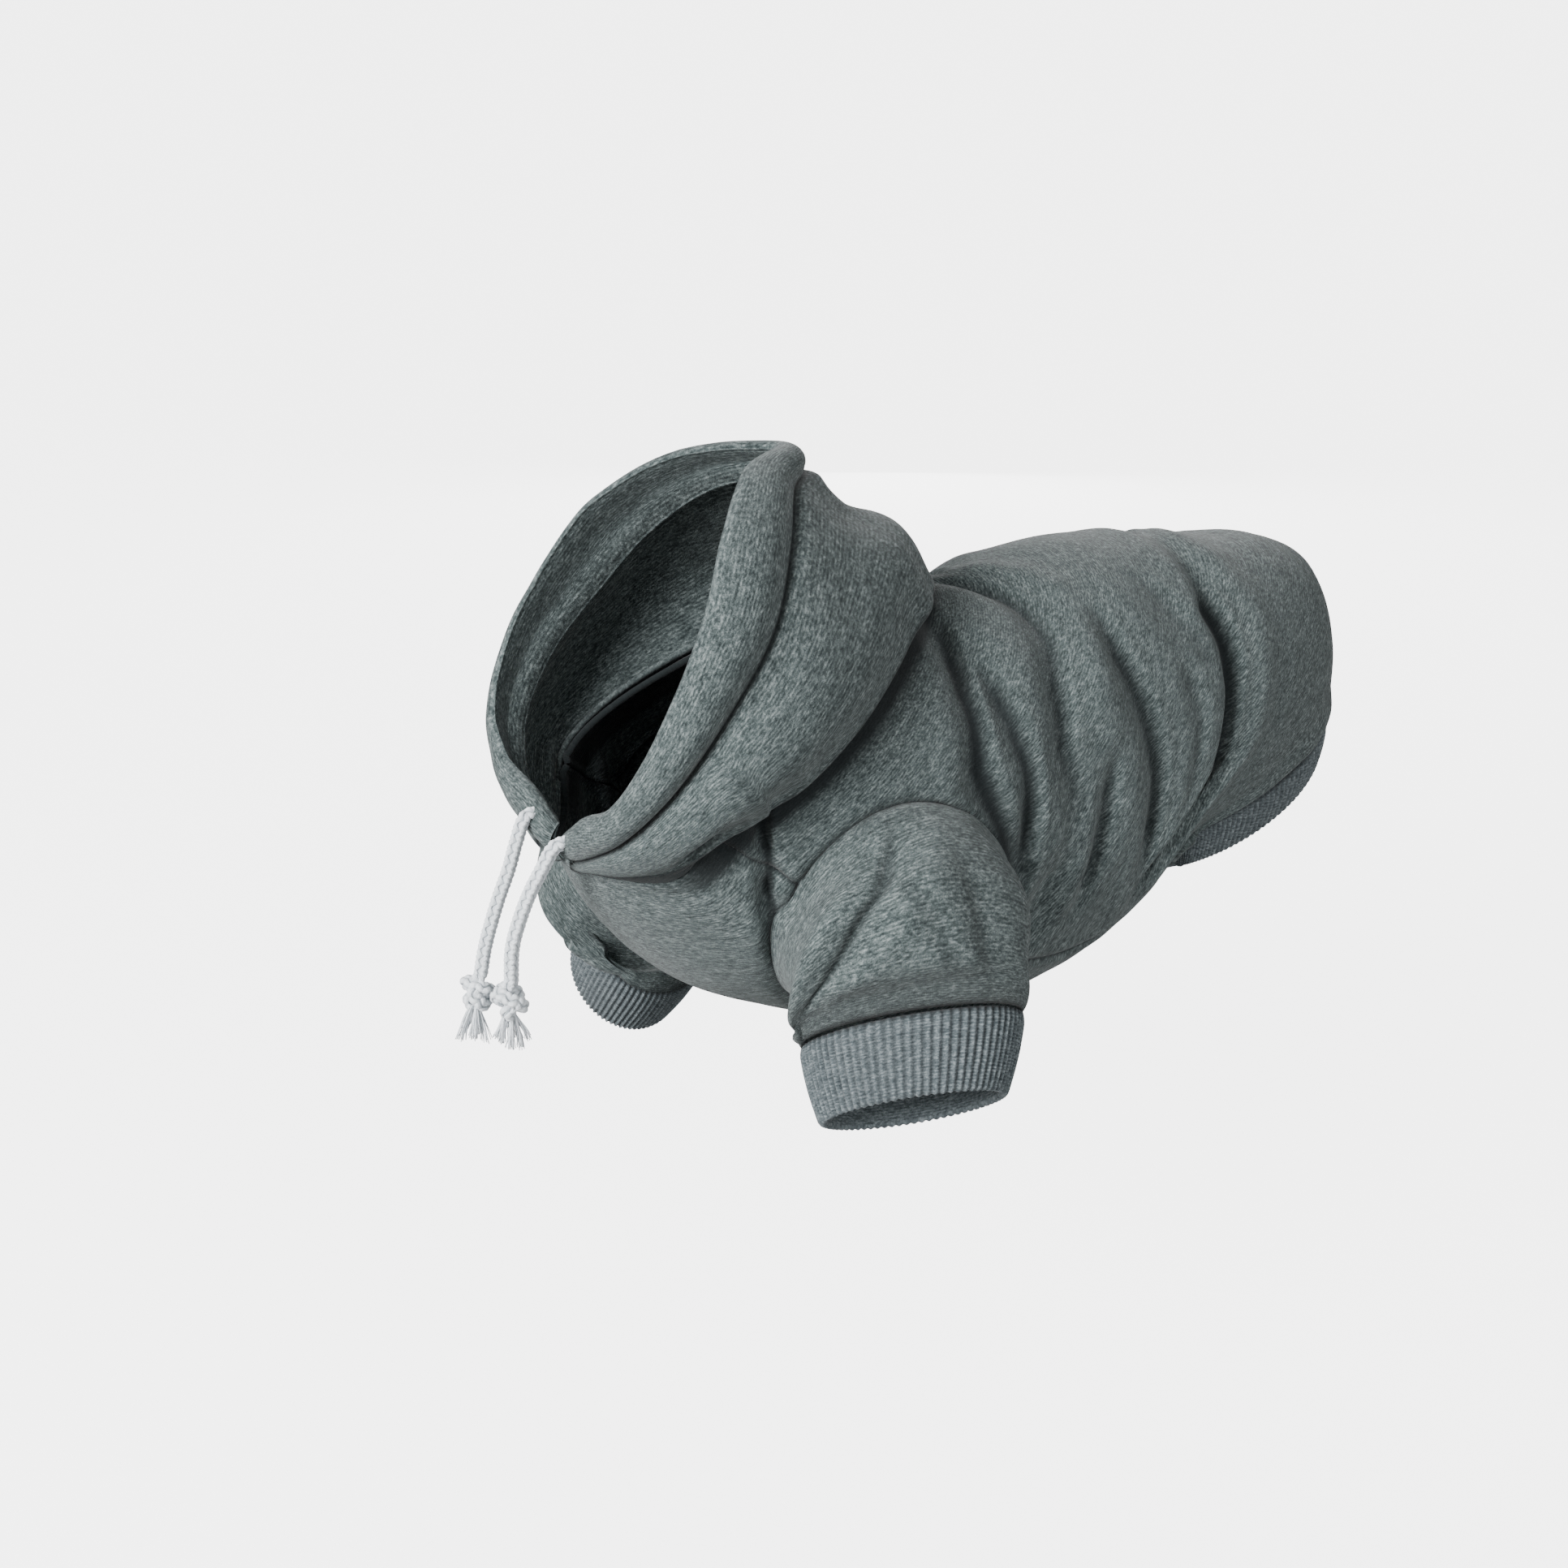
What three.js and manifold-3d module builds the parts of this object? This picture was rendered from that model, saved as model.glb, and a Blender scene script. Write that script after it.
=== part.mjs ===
// Pet hoodie in its worn form. Millimetres, +Z up, chest toward -Y, wearer's left toward +X.
// Origin: inner face of the back panel on the centre line, over the middle of the back.
import * as THREE from 'three';
import Module from 'manifold-3d';

const wasm = await Module();
wasm.setup();

// Driving sizes
const bodyLength = 390;
const chestWidth = 150;
const chestDepth = 176;
const fleeceWall = 2.4;
const ribWall = 3;
const channelThickness = 7.5;
const seamGap = 0.4;
const neckClearance = 0.93;
const liningGap = 0.9;
const cuffHeight = 25;
const ribCount = { cuff: 50, waistband: 70 };
const ribRelief = 0.9;
const cordDiameter = 5;
const cordClearance = 0.6;
const knotSize = 11;
const tasselLength = 13;
const rightSleeve = { drop: 17, spread: 24, tuck: 0.75, forward: 6 };
const armholeCutterReach = [0.12, 0.8];
const eyeletDepth = 9;
const cordInlet = 2.4;
const tasselHead = 2.4;
const lockRadius = [1.15, 0.55];

// Torso sections from the neck seam (0) through the hem seam (10) to the band edge (11)
// top y, top z, side x, side y, side z, bottom y, bottom z, squareness, arch
const torsoSections = [
  [-0.2846, -0.0398, 0.3533, -0.5077, -0.2955, -0.6205, -0.483, -0.08, 0],
  [-0.2051, -0.0455, 0.44, -0.4256, -0.3636, -0.5897, -0.6193, -0.05, 0],
  [-0.1385, -0.0227, 0.48, -0.3538, -0.4318, -0.5282, -0.767, 0, 0],
  [-0.0692, 0.0057, 0.5, -0.2718, -0.483, -0.4487, -0.858, 0.03, 0],
  [0, 0.0136, 0.5, -0.1949, -0.5114, -0.3462, -0.9318, 0.03, 0],
  [0.0795, 0, 0.5, -0.1282, -0.5227, -0.2256, -0.9773, 0.03, 0],
  [0.159, -0.0199, 0.5, -0.0769, -0.5284, -0.1333, -0.9432, 0.03, 0],
  [0.2359, -0.0341, 0.4933, -0.0462, -0.5341, -0.0564, -0.8807, 0.03, 0.0057],
  [0.3103, -0.1023, 0.4867, -0.0205, -0.5455, 0, -0.8352, 0.03, 0.017],
  [0.3513, -0.2614, 0.4733, -0.0077, -0.5625, 0.0359, -0.8182, 0.03, 0.0284],
  [0.3564, -0.4659, 0.46, -0.0051, -0.5852, 0.0564, -0.8068, 0.03, 0.0284],
  [0.3513, -0.5625, 0.4533, -0.0077, -0.6591, 0.0923, -0.7955, 0.03, 0.0284],
];
const hemSection = 10;
const collarSag = { angle: 132, half: 17, sections: 0.4 };

// Side seam: section, angle from the top centre line in degrees
const sideSeam = [
  [0, 112],
  [2, 116],
  [5, 126],
  [10, 130],
];

// Creases on one side: side, depth, half width, then pairs of angle and section along the crease
const creases = [
  [1, 3, 6, 21, 0.45, 54, 1.25, 75, 2, 97, 3.2],
  [1, 2.6, 5, 42, 1.1, 60, 1.9, 75, 2.65, 86, 3.05, 100, 3.55],
  [1, 3.4, 8, -10, 1, 8, 1.4, 20, 1.75, 39, 2.25, 54, 2.55, 69, 3, 83, 3.75],
  [1, 2.6, 7, 31, 2.7, 48, 3.5, 63, 4.35, 78, 5.25, 90, 5.75, 102, 6.15],
  [1, 2, 5, 72, 3.9, 84, 4.35, 96, 4.7, 107, 4.85],
  [1, 4.2, 8, 4, 4.8, 22, 5, 36, 5.25, 51, 6.05, 64, 6.85, 75, 7.4, 90, 7.2, 102, 6.8, 110, 6.5],
  [1, 4.6, 5, 102, 0.3, 118, 1.1, 131, 1.9],
  [1, 2.6, 6, 96, 3.9, 106, 4.1, 116, 4.4],
  [-1, 3, 7, 14, 0.6, 40, 1.3, 66, 2.1, 92, 3.4],
  [-1, 3, 8, 12, 1.6, 34, 2.4, 56, 3.2, 80, 4.5, 100, 5.2],
  [-1, 2.2, 6, 60, 4.2, 80, 5.2, 100, 5.8],
  [-1, 3.6, 8, 4, 4.9, 26, 5.4, 48, 6.2, 70, 7.2, 92, 7.2, 108, 6.7],
  [-1, 2.6, 4, 104, 0.4, 120, 1.2, 130, 1.8],
];

// Hood stations from the nape to the front end
// angle, overhang reach, crease x y z, edge x y z, bulge
const hoodStations = [
  [0, 0.1133, 0, -0.3744, 0.2159, 0, -0.4, 0.2727, 0.0533],
  [25, 0.0933, 0.1467, -0.4205, 0.1989, 0.1467, -0.4667, 0.2557, 0.06],
  [48, 0.0733, 0.28, -0.4615, 0.108, 0.28, -0.5231, 0.1648, 0.06],
  [70, 0.0667, 0.3667, -0.5026, -0.017, 0.3533, -0.559, 0.0398, 0.06],
  [92, 0.0533, 0.3933, -0.5538, -0.1477, 0.3733, -0.5949, -0.0966, 0.0533],
  [115, 0.0333, 0.3533, -0.5949, -0.2784, 0.34, -0.6231, -0.2273, 0.04],
  [138, 0.0067, 0.24, -0.6179, -0.3864, 0.2467, -0.6333, -0.3182, 0.02],
  [160, 0, 0.1133, -0.6256, -0.4489, 0.12, -0.6282, -0.3636, 0.0067],
  [176, 0, 0.0267, -0.6244, -0.4716, 0.0267, -0.6231, -0.4148, 0],
];

// Sleeve rings: run, centre x y z, long radius, short radius, turn, tilt, rise in degrees
const sleeveRings = [
  [0, 0.4267, -0.3872, -0.5966, 0.2867, 0.2733, 0, 73, 0],
  [0.35, 0.5467, -0.4103, -0.6136, 0.29, 0.24, 10, 60, 0],
  [0.68, 0.5733, -0.4192, -0.6989, 0.27, 0.2333, 22, 44, 4],
  [0.9, 0.56, -0.4097, -0.75, 0.2633, 0.2067, 32, 41, 8],
  [1, 0.5367, -0.4026, -0.8011, 0.2567, 0.1867, 35, 39, 9],
];
const cuffEnd = { long: 0.213, short: 0.17, lean: [0.417, -0.302, -0.857] };

const armholeRun = 0.05;

// Sleeve creases: ring angle, run, slant, depth, half width in degrees
const sleeveCreases = [
  [128, 0.45, 80, 4, 14],
  [62, 0.55, -40, 1.8, 14],
  [200, 0.6, 30, 1.6, 16],
];

// Cord centre lines, left and right: points x y z
const cordLines = {
  left: [
    [0.0667, -0.6308, -0.4227],
    [0.0587, -0.6449, -0.4295],
    [0.0467, -0.6544, -0.4688],
    [0.032, -0.6651, -0.5199],
    [0.02, -0.6736, -0.5739],
    [0.01, -0.6797, -0.6312],
    [0, -0.6815, -0.7358],
  ],
  right: [
    [-0.0867, -0.6282, -0.4006],
    [-0.0887, -0.6423, -0.4074],
    [-0.0907, -0.6513, -0.4517],
    [-0.0933, -0.6595, -0.5057],
    [-0.0967, -0.6713, -0.5682],
    [-0.1013, -0.6833, -0.6477],
    [-0.1067, -0.6928, -0.746],
  ],
};
const tasselLocks = [
  [0, 0, 1], [20, 18, 0.94], [80, 22, 0.86], [140, 16, 1], [205, 24, 0.9], [265, 20, 0.98], [320, 15, 0.84],
];

const sectionLength = bodyLength / 12;
const rad = (degrees) => (degrees * Math.PI) / 180;
const vec = (x, y, z) => new THREE.Vector3(x, y, z);
const lerp = THREE.MathUtils.lerp;

// Smooth value between rows, for a position counted in rows
function between(rows, position) {
  const last = rows.length - 1;
  const i = Math.min(Math.max(Math.floor(position), 0), last - 1);
  const s = position - i;
  const b = rows[i];
  const c = rows[i + 1];
  const a = i > 0 ? rows[i - 1] : b.map((v, k) => 2 * v - c[k]);
  const d = i + 2 <= last ? rows[i + 2] : c.map((v, k) => 2 * v - b[k]);
  return b.map((v, k) => v + 0.5 * s * (c[k] - a[k]
    + s * (2 * a[k] - 5 * v + 4 * c[k] - d[k] + s * (3 * (v - c[k]) + d[k] - a[k]))));
}

// Position in rows for a value of the first column
function rowAt(rows, value) {
  let i = 0;
  while (i < rows.length - 2 && value > rows[i + 1][0]) i += 1;
  return i + (value - rows[i][0]) / (rows[i + 1][0] - rows[i][0]);
}

function baseTorso(angle, section) {
  const [ty, tz, sx, sy, sz, by, bz, q, arch] = between(torsoSections, section);
  const a = rad(angle);
  const ring = (top, side, bottom, lift) => {
    const middle = (top + bottom) / 2;
    return (middle + side) / 2 + ((top - bottom) / 2 - lift) * Math.cos(a)
      + ((middle - side) / 2) * Math.cos(2 * a) + lift * Math.cos(3 * a);
  };
  return vec(
    (chestWidth * sx * (Math.sin(a) + q * Math.sin(3 * a))) / (1 - q),
    bodyLength * ring(ty, sy, by, 0),
    chestDepth * ring(tz, sz, bz, arch),
  );
}

function facing(surface, a, s, da, ds) {
  const u = surface(a + da, s).sub(surface(a - da, s));
  const v = surface(a, s + ds).sub(surface(a, s - ds));
  return u.cross(v).normalize();
}

// Depth of the creases at a place, with a soft ridge on both sides of each
function creaseAt(angle, section) {
  const wrapped = ((angle + 540) % 360) - 180;
  const across = (Math.PI * chestWidth) / 360;
  let sum = 0;
  for (const [side, depth, half, ...path] of creases) {
    const place = side * wrapped;
    if (place < -20) continue;
    let near = Infinity;
    let run = 0;
    const count = path.length / 2 - 1;
    for (let i = 0; i < count; i += 1) {
      const [a0, s0, a1, s1] = path.slice(2 * i, 2 * i + 4);
      const dx = (a1 - a0) * across;
      const dy = (s1 - s0) * sectionLength;
      const px = (place - a0) * across;
      const py = (section - s0) * sectionLength;
      const k = Math.min(Math.max((px * dx + py * dy) / (dx * dx + dy * dy), 0), 1);
      const distance = Math.hypot(px - k * dx, py - k * dy);
      if (distance < near) {
        near = distance;
        run = (i + k) / count;
      }
    }
    const fade = Math.min(1, 4 * run + 0.3, 4 * (1 - run) + 0.3);
    const r = near / half;
    sum += depth * fade * (0.45 * Math.exp(-((r - 1.9) ** 2)) - Math.exp(-r * r));
  }
  return sum;
}

function torso(angle, section) {
  const base = baseTorso(angle, section);
  const fade = Math.min(1, Math.max(0, (hemSection - section) / 0.6));
  if (fade === 0) return base;
  return base.addScaledVector(facing(baseTorso, angle, section, 1, 0.03), fade * creaseAt(angle, section));
}

// Solid sheet between a face and the same face moved inward; columns may close into a tube
function sheet(face, columns, rows, closed, wall) {
  const outer = [];
  const inner = [];
  for (let j = 0; j <= rows; j += 1) {
    for (let i = 0; i < (closed ? columns : columns + 1); i += 1) {
      const [point, normal, depth] = face(i / columns, j / rows);
      outer.push(point);
      inner.push(point.clone().addScaledVector(normal, -(depth ?? wall)));
    }
  }
  const width = closed ? columns : columns + 1;
  const total = outer.length;
  const at = (i, j) => j * width + (i % width);
  const index = [];
  const quad = (a, b, c, d) => index.push(a, b, c, a, c, d);
  for (let j = 0; j < rows; j += 1) {
    for (let i = 0; i < columns; i += 1) {
      const [a, b, c, d] = [at(i, j), at(i + 1, j), at(i + 1, j + 1), at(i, j + 1)];
      quad(a, b, c, d);
      quad(total + d, total + c, total + b, total + a);
    }
  }
  for (let i = 0; i < columns; i += 1) {
    quad(at(i + 1, 0), at(i, 0), total + at(i, 0), total + at(i + 1, 0));
    quad(at(i, rows), at(i + 1, rows), total + at(i + 1, rows), total + at(i, rows));
  }
  if (!closed) {
    for (let j = 0; j < rows; j += 1) {
      quad(at(0, j), at(0, j + 1), total + at(0, j + 1), total + at(0, j));
      quad(at(columns, j), total + at(columns, j), total + at(columns, j + 1), at(columns, j + 1));
    }
  }
  const geometry = new THREE.BufferGeometry();
  geometry.setAttribute('position', new THREE.Float32BufferAttribute(
    [...outer, ...inner].flatMap((p) => p.toArray()), 3));
  geometry.setIndex(index);
  return faceOut(geometry);
}

function volume(geometry) {
  const p = geometry.attributes.position;
  const index = geometry.index.array;
  const [a, b, c] = [vec(), vec(), vec()];
  let sum = 0;
  for (let i = 0; i < index.length; i += 3) {
    a.fromBufferAttribute(p, index[i]);
    b.fromBufferAttribute(p, index[i + 1]);
    c.fromBufferAttribute(p, index[i + 2]);
    sum += a.dot(b.cross(c)) / 6;
  }
  return sum;
}

function faceOut(geometry) {
  if (volume(geometry) < 0) {
    const index = Array.from(geometry.index.array);
    for (let i = 0; i < index.length; i += 3) [index[i], index[i + 1]] = [index[i + 1], index[i]];
    geometry.setIndex(index);
  }
  return geometry;
}

function toSolid(geometry) {
  return new wasm.Manifold(new wasm.Mesh({
    numProp: 3,
    vertProperties: Float32Array.from(geometry.attributes.position.array),
    triVerts: Uint32Array.from(geometry.index.array),
  }));
}

function fromSolid(solid) {
  const mesh = solid.getMesh();
  const geometry = new THREE.BufferGeometry();
  geometry.setAttribute('position', new THREE.Float32BufferAttribute(
    Array.from(mesh.vertProperties), mesh.numProp));
  geometry.setIndex(Array.from(mesh.triVerts));
  return geometry;
}

// Tube of rings, each ring a list of points, capped flat at both ends
function tube(rings) {
  const sides = rings[0].length;
  const points = rings.flat();
  const index = [];
  for (let j = 0; j + 1 < rings.length; j += 1) {
    for (let i = 0; i < sides; i += 1) {
      const k = (i + 1) % sides;
      index.push(j * sides + i, j * sides + k, (j + 1) * sides + k);
      index.push(j * sides + i, (j + 1) * sides + k, (j + 1) * sides + i);
    }
  }
  for (const j of [0, rings.length - 1]) {
    const centre = points.length;
    points.push(rings[j].reduce((s, p) => s.add(p), vec(0, 0, 0)).multiplyScalar(1 / sides));
    for (let i = 0; i < sides; i += 1) {
      const k = (i + 1) % sides;
      if (j === 0) index.push(centre, k, i);
      else index.push(centre, j * sides + i, j * sides + k);
    }
  }
  const geometry = new THREE.BufferGeometry();
  geometry.setAttribute('position', new THREE.Float32BufferAttribute(points.flatMap((p) => p.toArray()), 3));
  geometry.setIndex(index);
  return faceOut(geometry);
}

// Round tube along a curve with a radius for each share of the run
function strand(curve, radius, steps, sides) {
  const frames = curve.computeFrenetFrames(steps, false);
  const rings = [];
  for (let j = 0; j <= steps; j += 1) {
    const centre = curve.getPointAt(j / steps);
    rings.push(Array.from({ length: sides }, (_, i) => {
      const a = (2 * Math.PI * i) / sides;
      return centre.clone()
        .addScaledVector(frames.normals[j], radius(j / steps) * Math.cos(a))
        .addScaledVector(frames.binormals[j], radius(j / steps) * Math.sin(a));
    }));
  }
  return tube(rings);
}

const scaled = (row, from = 0) => vec(
  row[from] * chestWidth, row[from + 1] * bodyLength, row[from + 2] * chestDepth);

const gapSections = neckClearance / sectionLength;
const gapAngle = (section, angle) => {
  const step = torso(angle + 1, section).distanceTo(torso(angle - 1, section)) / 2;
  return (0.8 * seamGap) / step;
};

function seamAngle(section) {
  return between(sideSeam, rowAt(sideSeam, section))[1];
}

const fleece = { color: 0x6a7274, roughness: 0.95, metalness: 0 };
const rib = { color: 0x747c80, roughness: 0.92, metalness: 0 };
const cord = { color: 0xe4eaec, roughness: 0.8, metalness: 0 };

const group = new THREE.Group();
group.name = 'pet_hoodie';
function add(name, geometry, look) {
  const mesh = new THREE.Mesh(geometry, new THREE.MeshStandardMaterial(look));
  mesh.name = name;
  geometry.computeVertexNormals();
  group.add(mesh);
}

// Armhole: an oval seen from the side, cut through both panels
const armhole = sleeveRings[0];
function armholeOval(angle, gap) {
  return [
    armhole[2] * bodyLength + (armhole[4] * chestWidth - gap) * Math.cos(angle),
    armhole[3] * chestDepth + (armhole[5] * chestWidth - gap) * Math.sin(angle),
  ];
}

function armholeCutter(side) {
  const sides = 40;
  const ring = (x) => Array.from({ length: sides }, (_, i) => {
    const [y, z] = armholeOval((2 * Math.PI * i) / sides, 0);
    return vec(side * x * chestWidth, y, z);
  });
  return toSolid(tube(armholeCutterReach.map(ring)));
}

// Angle and section of the torso where it passes a given y and z
function placeOn(y, z) {
  let angle = 100;
  let section = 2.6;
  for (let n = 0; n < 40; n += 1) {
    const p = torso(angle, section);
    const pa = torso(angle + 0.5, section).sub(p).multiplyScalar(2);
    const ps = torso(angle, section + 0.02).sub(p).multiplyScalar(50);
    const dy = y - p.y;
    const dz = z - p.z;
    const det = pa.y * ps.z - pa.z * ps.y;
    angle += THREE.MathUtils.clamp((dy * ps.z - dz * ps.y) / det, -15, 15);
    section += THREE.MathUtils.clamp((pa.y * dz - pa.z * dy) / det, -0.6, 0.6);
  }
  return torso(angle, section);
}

function neckSection(angle) {
  const off = (Math.abs(((angle + 540) % 360) - 180) - collarSag.angle) / collarSag.half;
  return collarSag.sections * Math.exp(-off * off);
}

function panel(from, to, columns, rows) {
  return sheet((u, v) => {
    const section = lerp(neckSection(lerp(from(0), to(0), u)), hemSection, v);
    const [a0, a1] = [from(section), to(section)];
    const angle = lerp(a0 + gapAngle(section, a0), a1 - gapAngle(section, a1), u);
    const seam = u === 0 ? a0 : a1;
    return [torso(angle, section), facing(torso, u % 1 === 0 ? seam : angle, section, 1.5, 0.05)];
  }, columns, rows, false, fleeceWall);
}

const cutters = [armholeCutter(1), armholeCutter(-1)];
const cutPanel = (geometry) => fromSolid(cutters.reduce((s, c) => s.subtract(c), toSolid(geometry)));
const columns = { back: 24, chest: 12 };
const hemAngle = seamAngle(hemSection);
add('back_panel', cutPanel(panel((s) => -seamAngle(s), (s) => seamAngle(s), columns.back, 20)), fleece);
add('chest_panel', cutPanel(panel((s) => seamAngle(s), (s) => 360 - seamAngle(s), columns.chest, 20)), fleece);

// Waistband: its upper edge follows the straight steps of the panel edges
function hemCorner(i) {
  const n = columns.back;
  const k = (i + n + columns.chest) % (n + columns.chest);
  const angle = k <= n ? lerp(-hemAngle, hemAngle, k / n) : lerp(hemAngle, 360 - hemAngle, (k - n) / columns.chest);
  return [angle, baseTorso(angle, hemSection), facing(baseTorso, angle, hemSection, 1.5, 0.05)];
}

function hemEdge(angle) {
  const turned = ((angle + hemAngle) % 360) - hemAngle;
  const i = turned < hemAngle
    ? Math.floor(((turned + hemAngle) / (2 * hemAngle)) * columns.back + 1e-9)
    : columns.back + Math.floor(((turned - hemAngle) / (360 - 2 * hemAngle)) * columns.chest + 1e-9);
  const [a0, p0, n0] = hemCorner(i);
  const [a1, p1, n1] = hemCorner(i + 1);
  const k = (turned - a0) / ((((a1 - a0) % 360) + 360) % 360);
  const along = baseTorso(angle, hemSection + 0.1).sub(baseTorso(angle, hemSection)).normalize();
  return [p0.lerp(p1, k).addScaledVector(along, seamGap), n0.lerp(n1, k).normalize()];
}

add('waistband', sheet((u, v) => {
  const angle = 360 * u;
  const [edge, facingOut] = hemEdge(angle);
  const normal = v === 0 ? facingOut : facing(baseTorso, angle, hemSection + 1, 1.5, 0.05);
  const relief = Math.round(u * 2 * ribCount.waistband) % 2 ? ribRelief : 0;
  const point = (v === 0 ? edge : baseTorso(angle, hemSection + 1)).addScaledVector(normal, 0.4 - relief);
  return [point, normal, ribWall - relief];
}, 2 * ribCount.waistband, 1, true, ribWall), rib);

// Hood: the cloth leaves the neck seam, lies out over the shoulders, folds back up at the overhang,
// and runs over a bulge to the stitched crease and the channel at the edge
const mirroredColumns = [0, 2, 5];
const hoodRows = [
  ...hoodStations.slice(1).reverse().map((r) => r.map((v, k) => (mirroredColumns.includes(k) ? -v : v))),
  ...hoodStations,
];
function hoodRow(position) {
  const span = hoodStations.length - 1;
  return between(hoodRows, span + position * span);
}

function hoodCurve(position) {
  const row = hoodRow(position);
  const angle = row[0];
  const reach = Math.max(0, row[1] * chestWidth);
  const fold = THREE.MathUtils.smoothstep(reach, 1, 9);
  const neck = neckSection(angle);
  const perSection = torso(angle, neck + 0.5).distanceTo(torso(angle, neck)) * 2;
  const crease = scaled(row, 2);
  const edge = scaled(row, 5);
  const bulge = row[8] * chestWidth;
  const start = torso(angle, neck - gapSections);
  const place = (along, height, step) => {
    const section = neck - gapSections + along / perSection;
    const lying = torso(angle, section)
      .addScaledVector(facing(torso, angle, neck + Math.max(along / perSection, 0.03), 1.5, 0.03), height);
    return start.clone().lerp(crease, step).lerp(lying, fold);
  };
  const turn = 1.25 * fleeceWall;
  const layers = [
    place(0, liningGap, 0),
    place(0.5 * reach, liningGap, 0.05),
    place(0.92 * reach, liningGap, 0.1),
    place(reach + turn, liningGap + turn, 0.16),
    place(0.96 * reach, liningGap + 2.1 * turn, 0.24),
  ];
  const along = hoodSide(position);
  const last = layers[4];
  const rise = crease.clone().sub(last);
  const away = rise.clone().cross(along).normalize();
  const panelPoint = (share, out) => last.clone().addScaledVector(rise, share).addScaledVector(away, out * bulge);
  const roll = edge.clone().sub(crease);
  const swell = roll.clone().cross(along).normalize();
  const channel = crease.clone().addScaledVector(roll, 0.45).addScaledVector(swell, 2.2);
  return [...layers, panelPoint(0.33, 0.9), panelPoint(0.68, 0.8), crease, channel, edge];
}

function hoodSide(position) {
  const a = hoodRow(Math.min(position + 0.04, 1));
  const b = hoodRow(Math.max(position - 0.04, -1));
  return scaled(a, 2).sub(scaled(b, 2)).normalize();
}

const hoodLines = new Map();
function hoodPoint(position, share) {
  const key = position.toFixed(5);
  if (!hoodLines.has(key)) hoodLines.set(key, hoodCurve(position).map((p) => p.toArray()));
  return vec(...between(hoodLines.get(key), share * 9));
}

const hoodDepth = (share) => {
  const k = (share * 9 - 6.8) / 2.2;
  return k < 0 ? fleeceWall : lerp(fleeceWall, channelThickness, Math.sin(Math.PI * Math.min(k, 1)) ** 0.6);
};

const endGap = seamGap / bodyLength;
const hoodShares = [0, 0.11, 0.22, 0.28, 0.333, 0.39, 0.444, 0.51, 0.6, 0.69, 0.76, 0.8, 0.85, 0.9, 0.95, 1];
const hoodSheet = sheet((u, v) => {
  const position = lerp(-1 + endGap, 1 - endGap, u);
  const share = hoodShares[Math.round(v * (hoodShares.length - 1))];
  const normal = facing(hoodPoint, position, share, -0.01, 0.01);
  return [hoodPoint(position, share), normal, hoodDepth(share)];
}, 32, hoodShares.length - 1, false, fleeceWall);

const ends = Object.values(cordLines).map((points) => points.map((p) => scaled(p)));
const eyelets = ends.map(([start, next]) => {
  const into = start.clone().sub(next).normalize();
  const radius = (cordDiameter + cordClearance) / 2;
  const path = new THREE.LineCurve3(start.clone().addScaledVector(into, 3), start.clone().addScaledVector(into, -eyeletDepth));
  return toSolid(strand(path, () => radius, 1, 12));
});
add('hood', fromSolid(eyelets.reduce((s, c) => s.subtract(c), toSolid(hoodSheet))), fleece);

// Sleeves and cuffs
function sleeveFrame(run) {
  const [, cx, cy, cz, long, short, turn, tilt, rise] = between(sleeveRings, rowAt(sleeveRings, run));
  const [t, k, h] = [rad(turn), rad(tilt), rad(rise)];
  return {
    centre: scaled([cx, cy, cz]),
    long: vec(Math.sin(t) * Math.cos(h), Math.cos(t) * Math.cos(h), Math.sin(h)).multiplyScalar(long * chestWidth),
    short: vec(Math.cos(t) * Math.cos(k), -Math.sin(t) * Math.cos(k), Math.sin(k)).multiplyScalar(short * chestWidth),
  };
}

const armholeLines = new Map();
function armholePoint(degrees) {
  const key = degrees.toFixed(3);
  if (!armholeLines.has(key)) {
    const [y, z] = armholeOval(rad(degrees), seamGap);
    const place = placeOn(y, z);
    armholeLines.set(key, vec(place.x, y, z));
  }
  return armholeLines.get(key).clone();
}

function sleevePoint(degrees, run) {
  const { centre, long, short } = sleeveFrame(run);
  const a = rad(degrees);
  const free = centre.addScaledVector(long, Math.cos(a)).addScaledVector(short, Math.sin(a));
  const hold = Math.max(0, 1 - Math.max(0, run - armholeRun) / 0.3) ** 2;
  if (hold === 0) return free;
  const rim = armholePoint(degrees);
  rim.x += lerp(-fleeceWall, 1.5, Math.min(1, run / armholeRun));
  return free.lerp(rim, hold);
}

function creasedSleeve(degrees, run) {
  const point = sleevePoint(degrees, run);
  const normal = facing(sleevePoint, degrees, run, 3, 0.02);
  let sum = 0;
  for (const [angle, middle, slant, depth, half] of sleeveCreases) {
    const off = (((degrees - angle - slant * (run - middle)) % 360) + 540) % 360 - 180;
    const fade = Math.max(0, 1 - ((run - middle) / 0.38) ** 2);
    sum += depth * fade * (0.4 * Math.exp(-((Math.abs(off / half) - 1.9) ** 2)) - Math.exp(-((off / half) ** 2)));
  }
  return point.addScaledVector(normal, sum * THREE.MathUtils.clamp(Math.min(6 * (run - 0.1), 6 * (1 - run)), 0, 1));
}

// The right sleeve hangs lower and stands further out than the left
function mirrored(point, side, run) {
  if (side > 0) return point;
  const share = run * run * (1.6 - 0.6 * run);
  const ease = THREE.MathUtils.smoothstep;
  const spread = rightSleeve.spread * (ease(run, 0, 0.5) - rightSleeve.tuck * ease(run, 0.5, 0.92));
  const forward = rightSleeve.forward * ease(run, 0.2, 0.6) * (1 - ease(run, 0.7, 0.86));
  return vec(-point.x - spread, point.y - forward, point.z - rightSleeve.drop * share);
}

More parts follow.
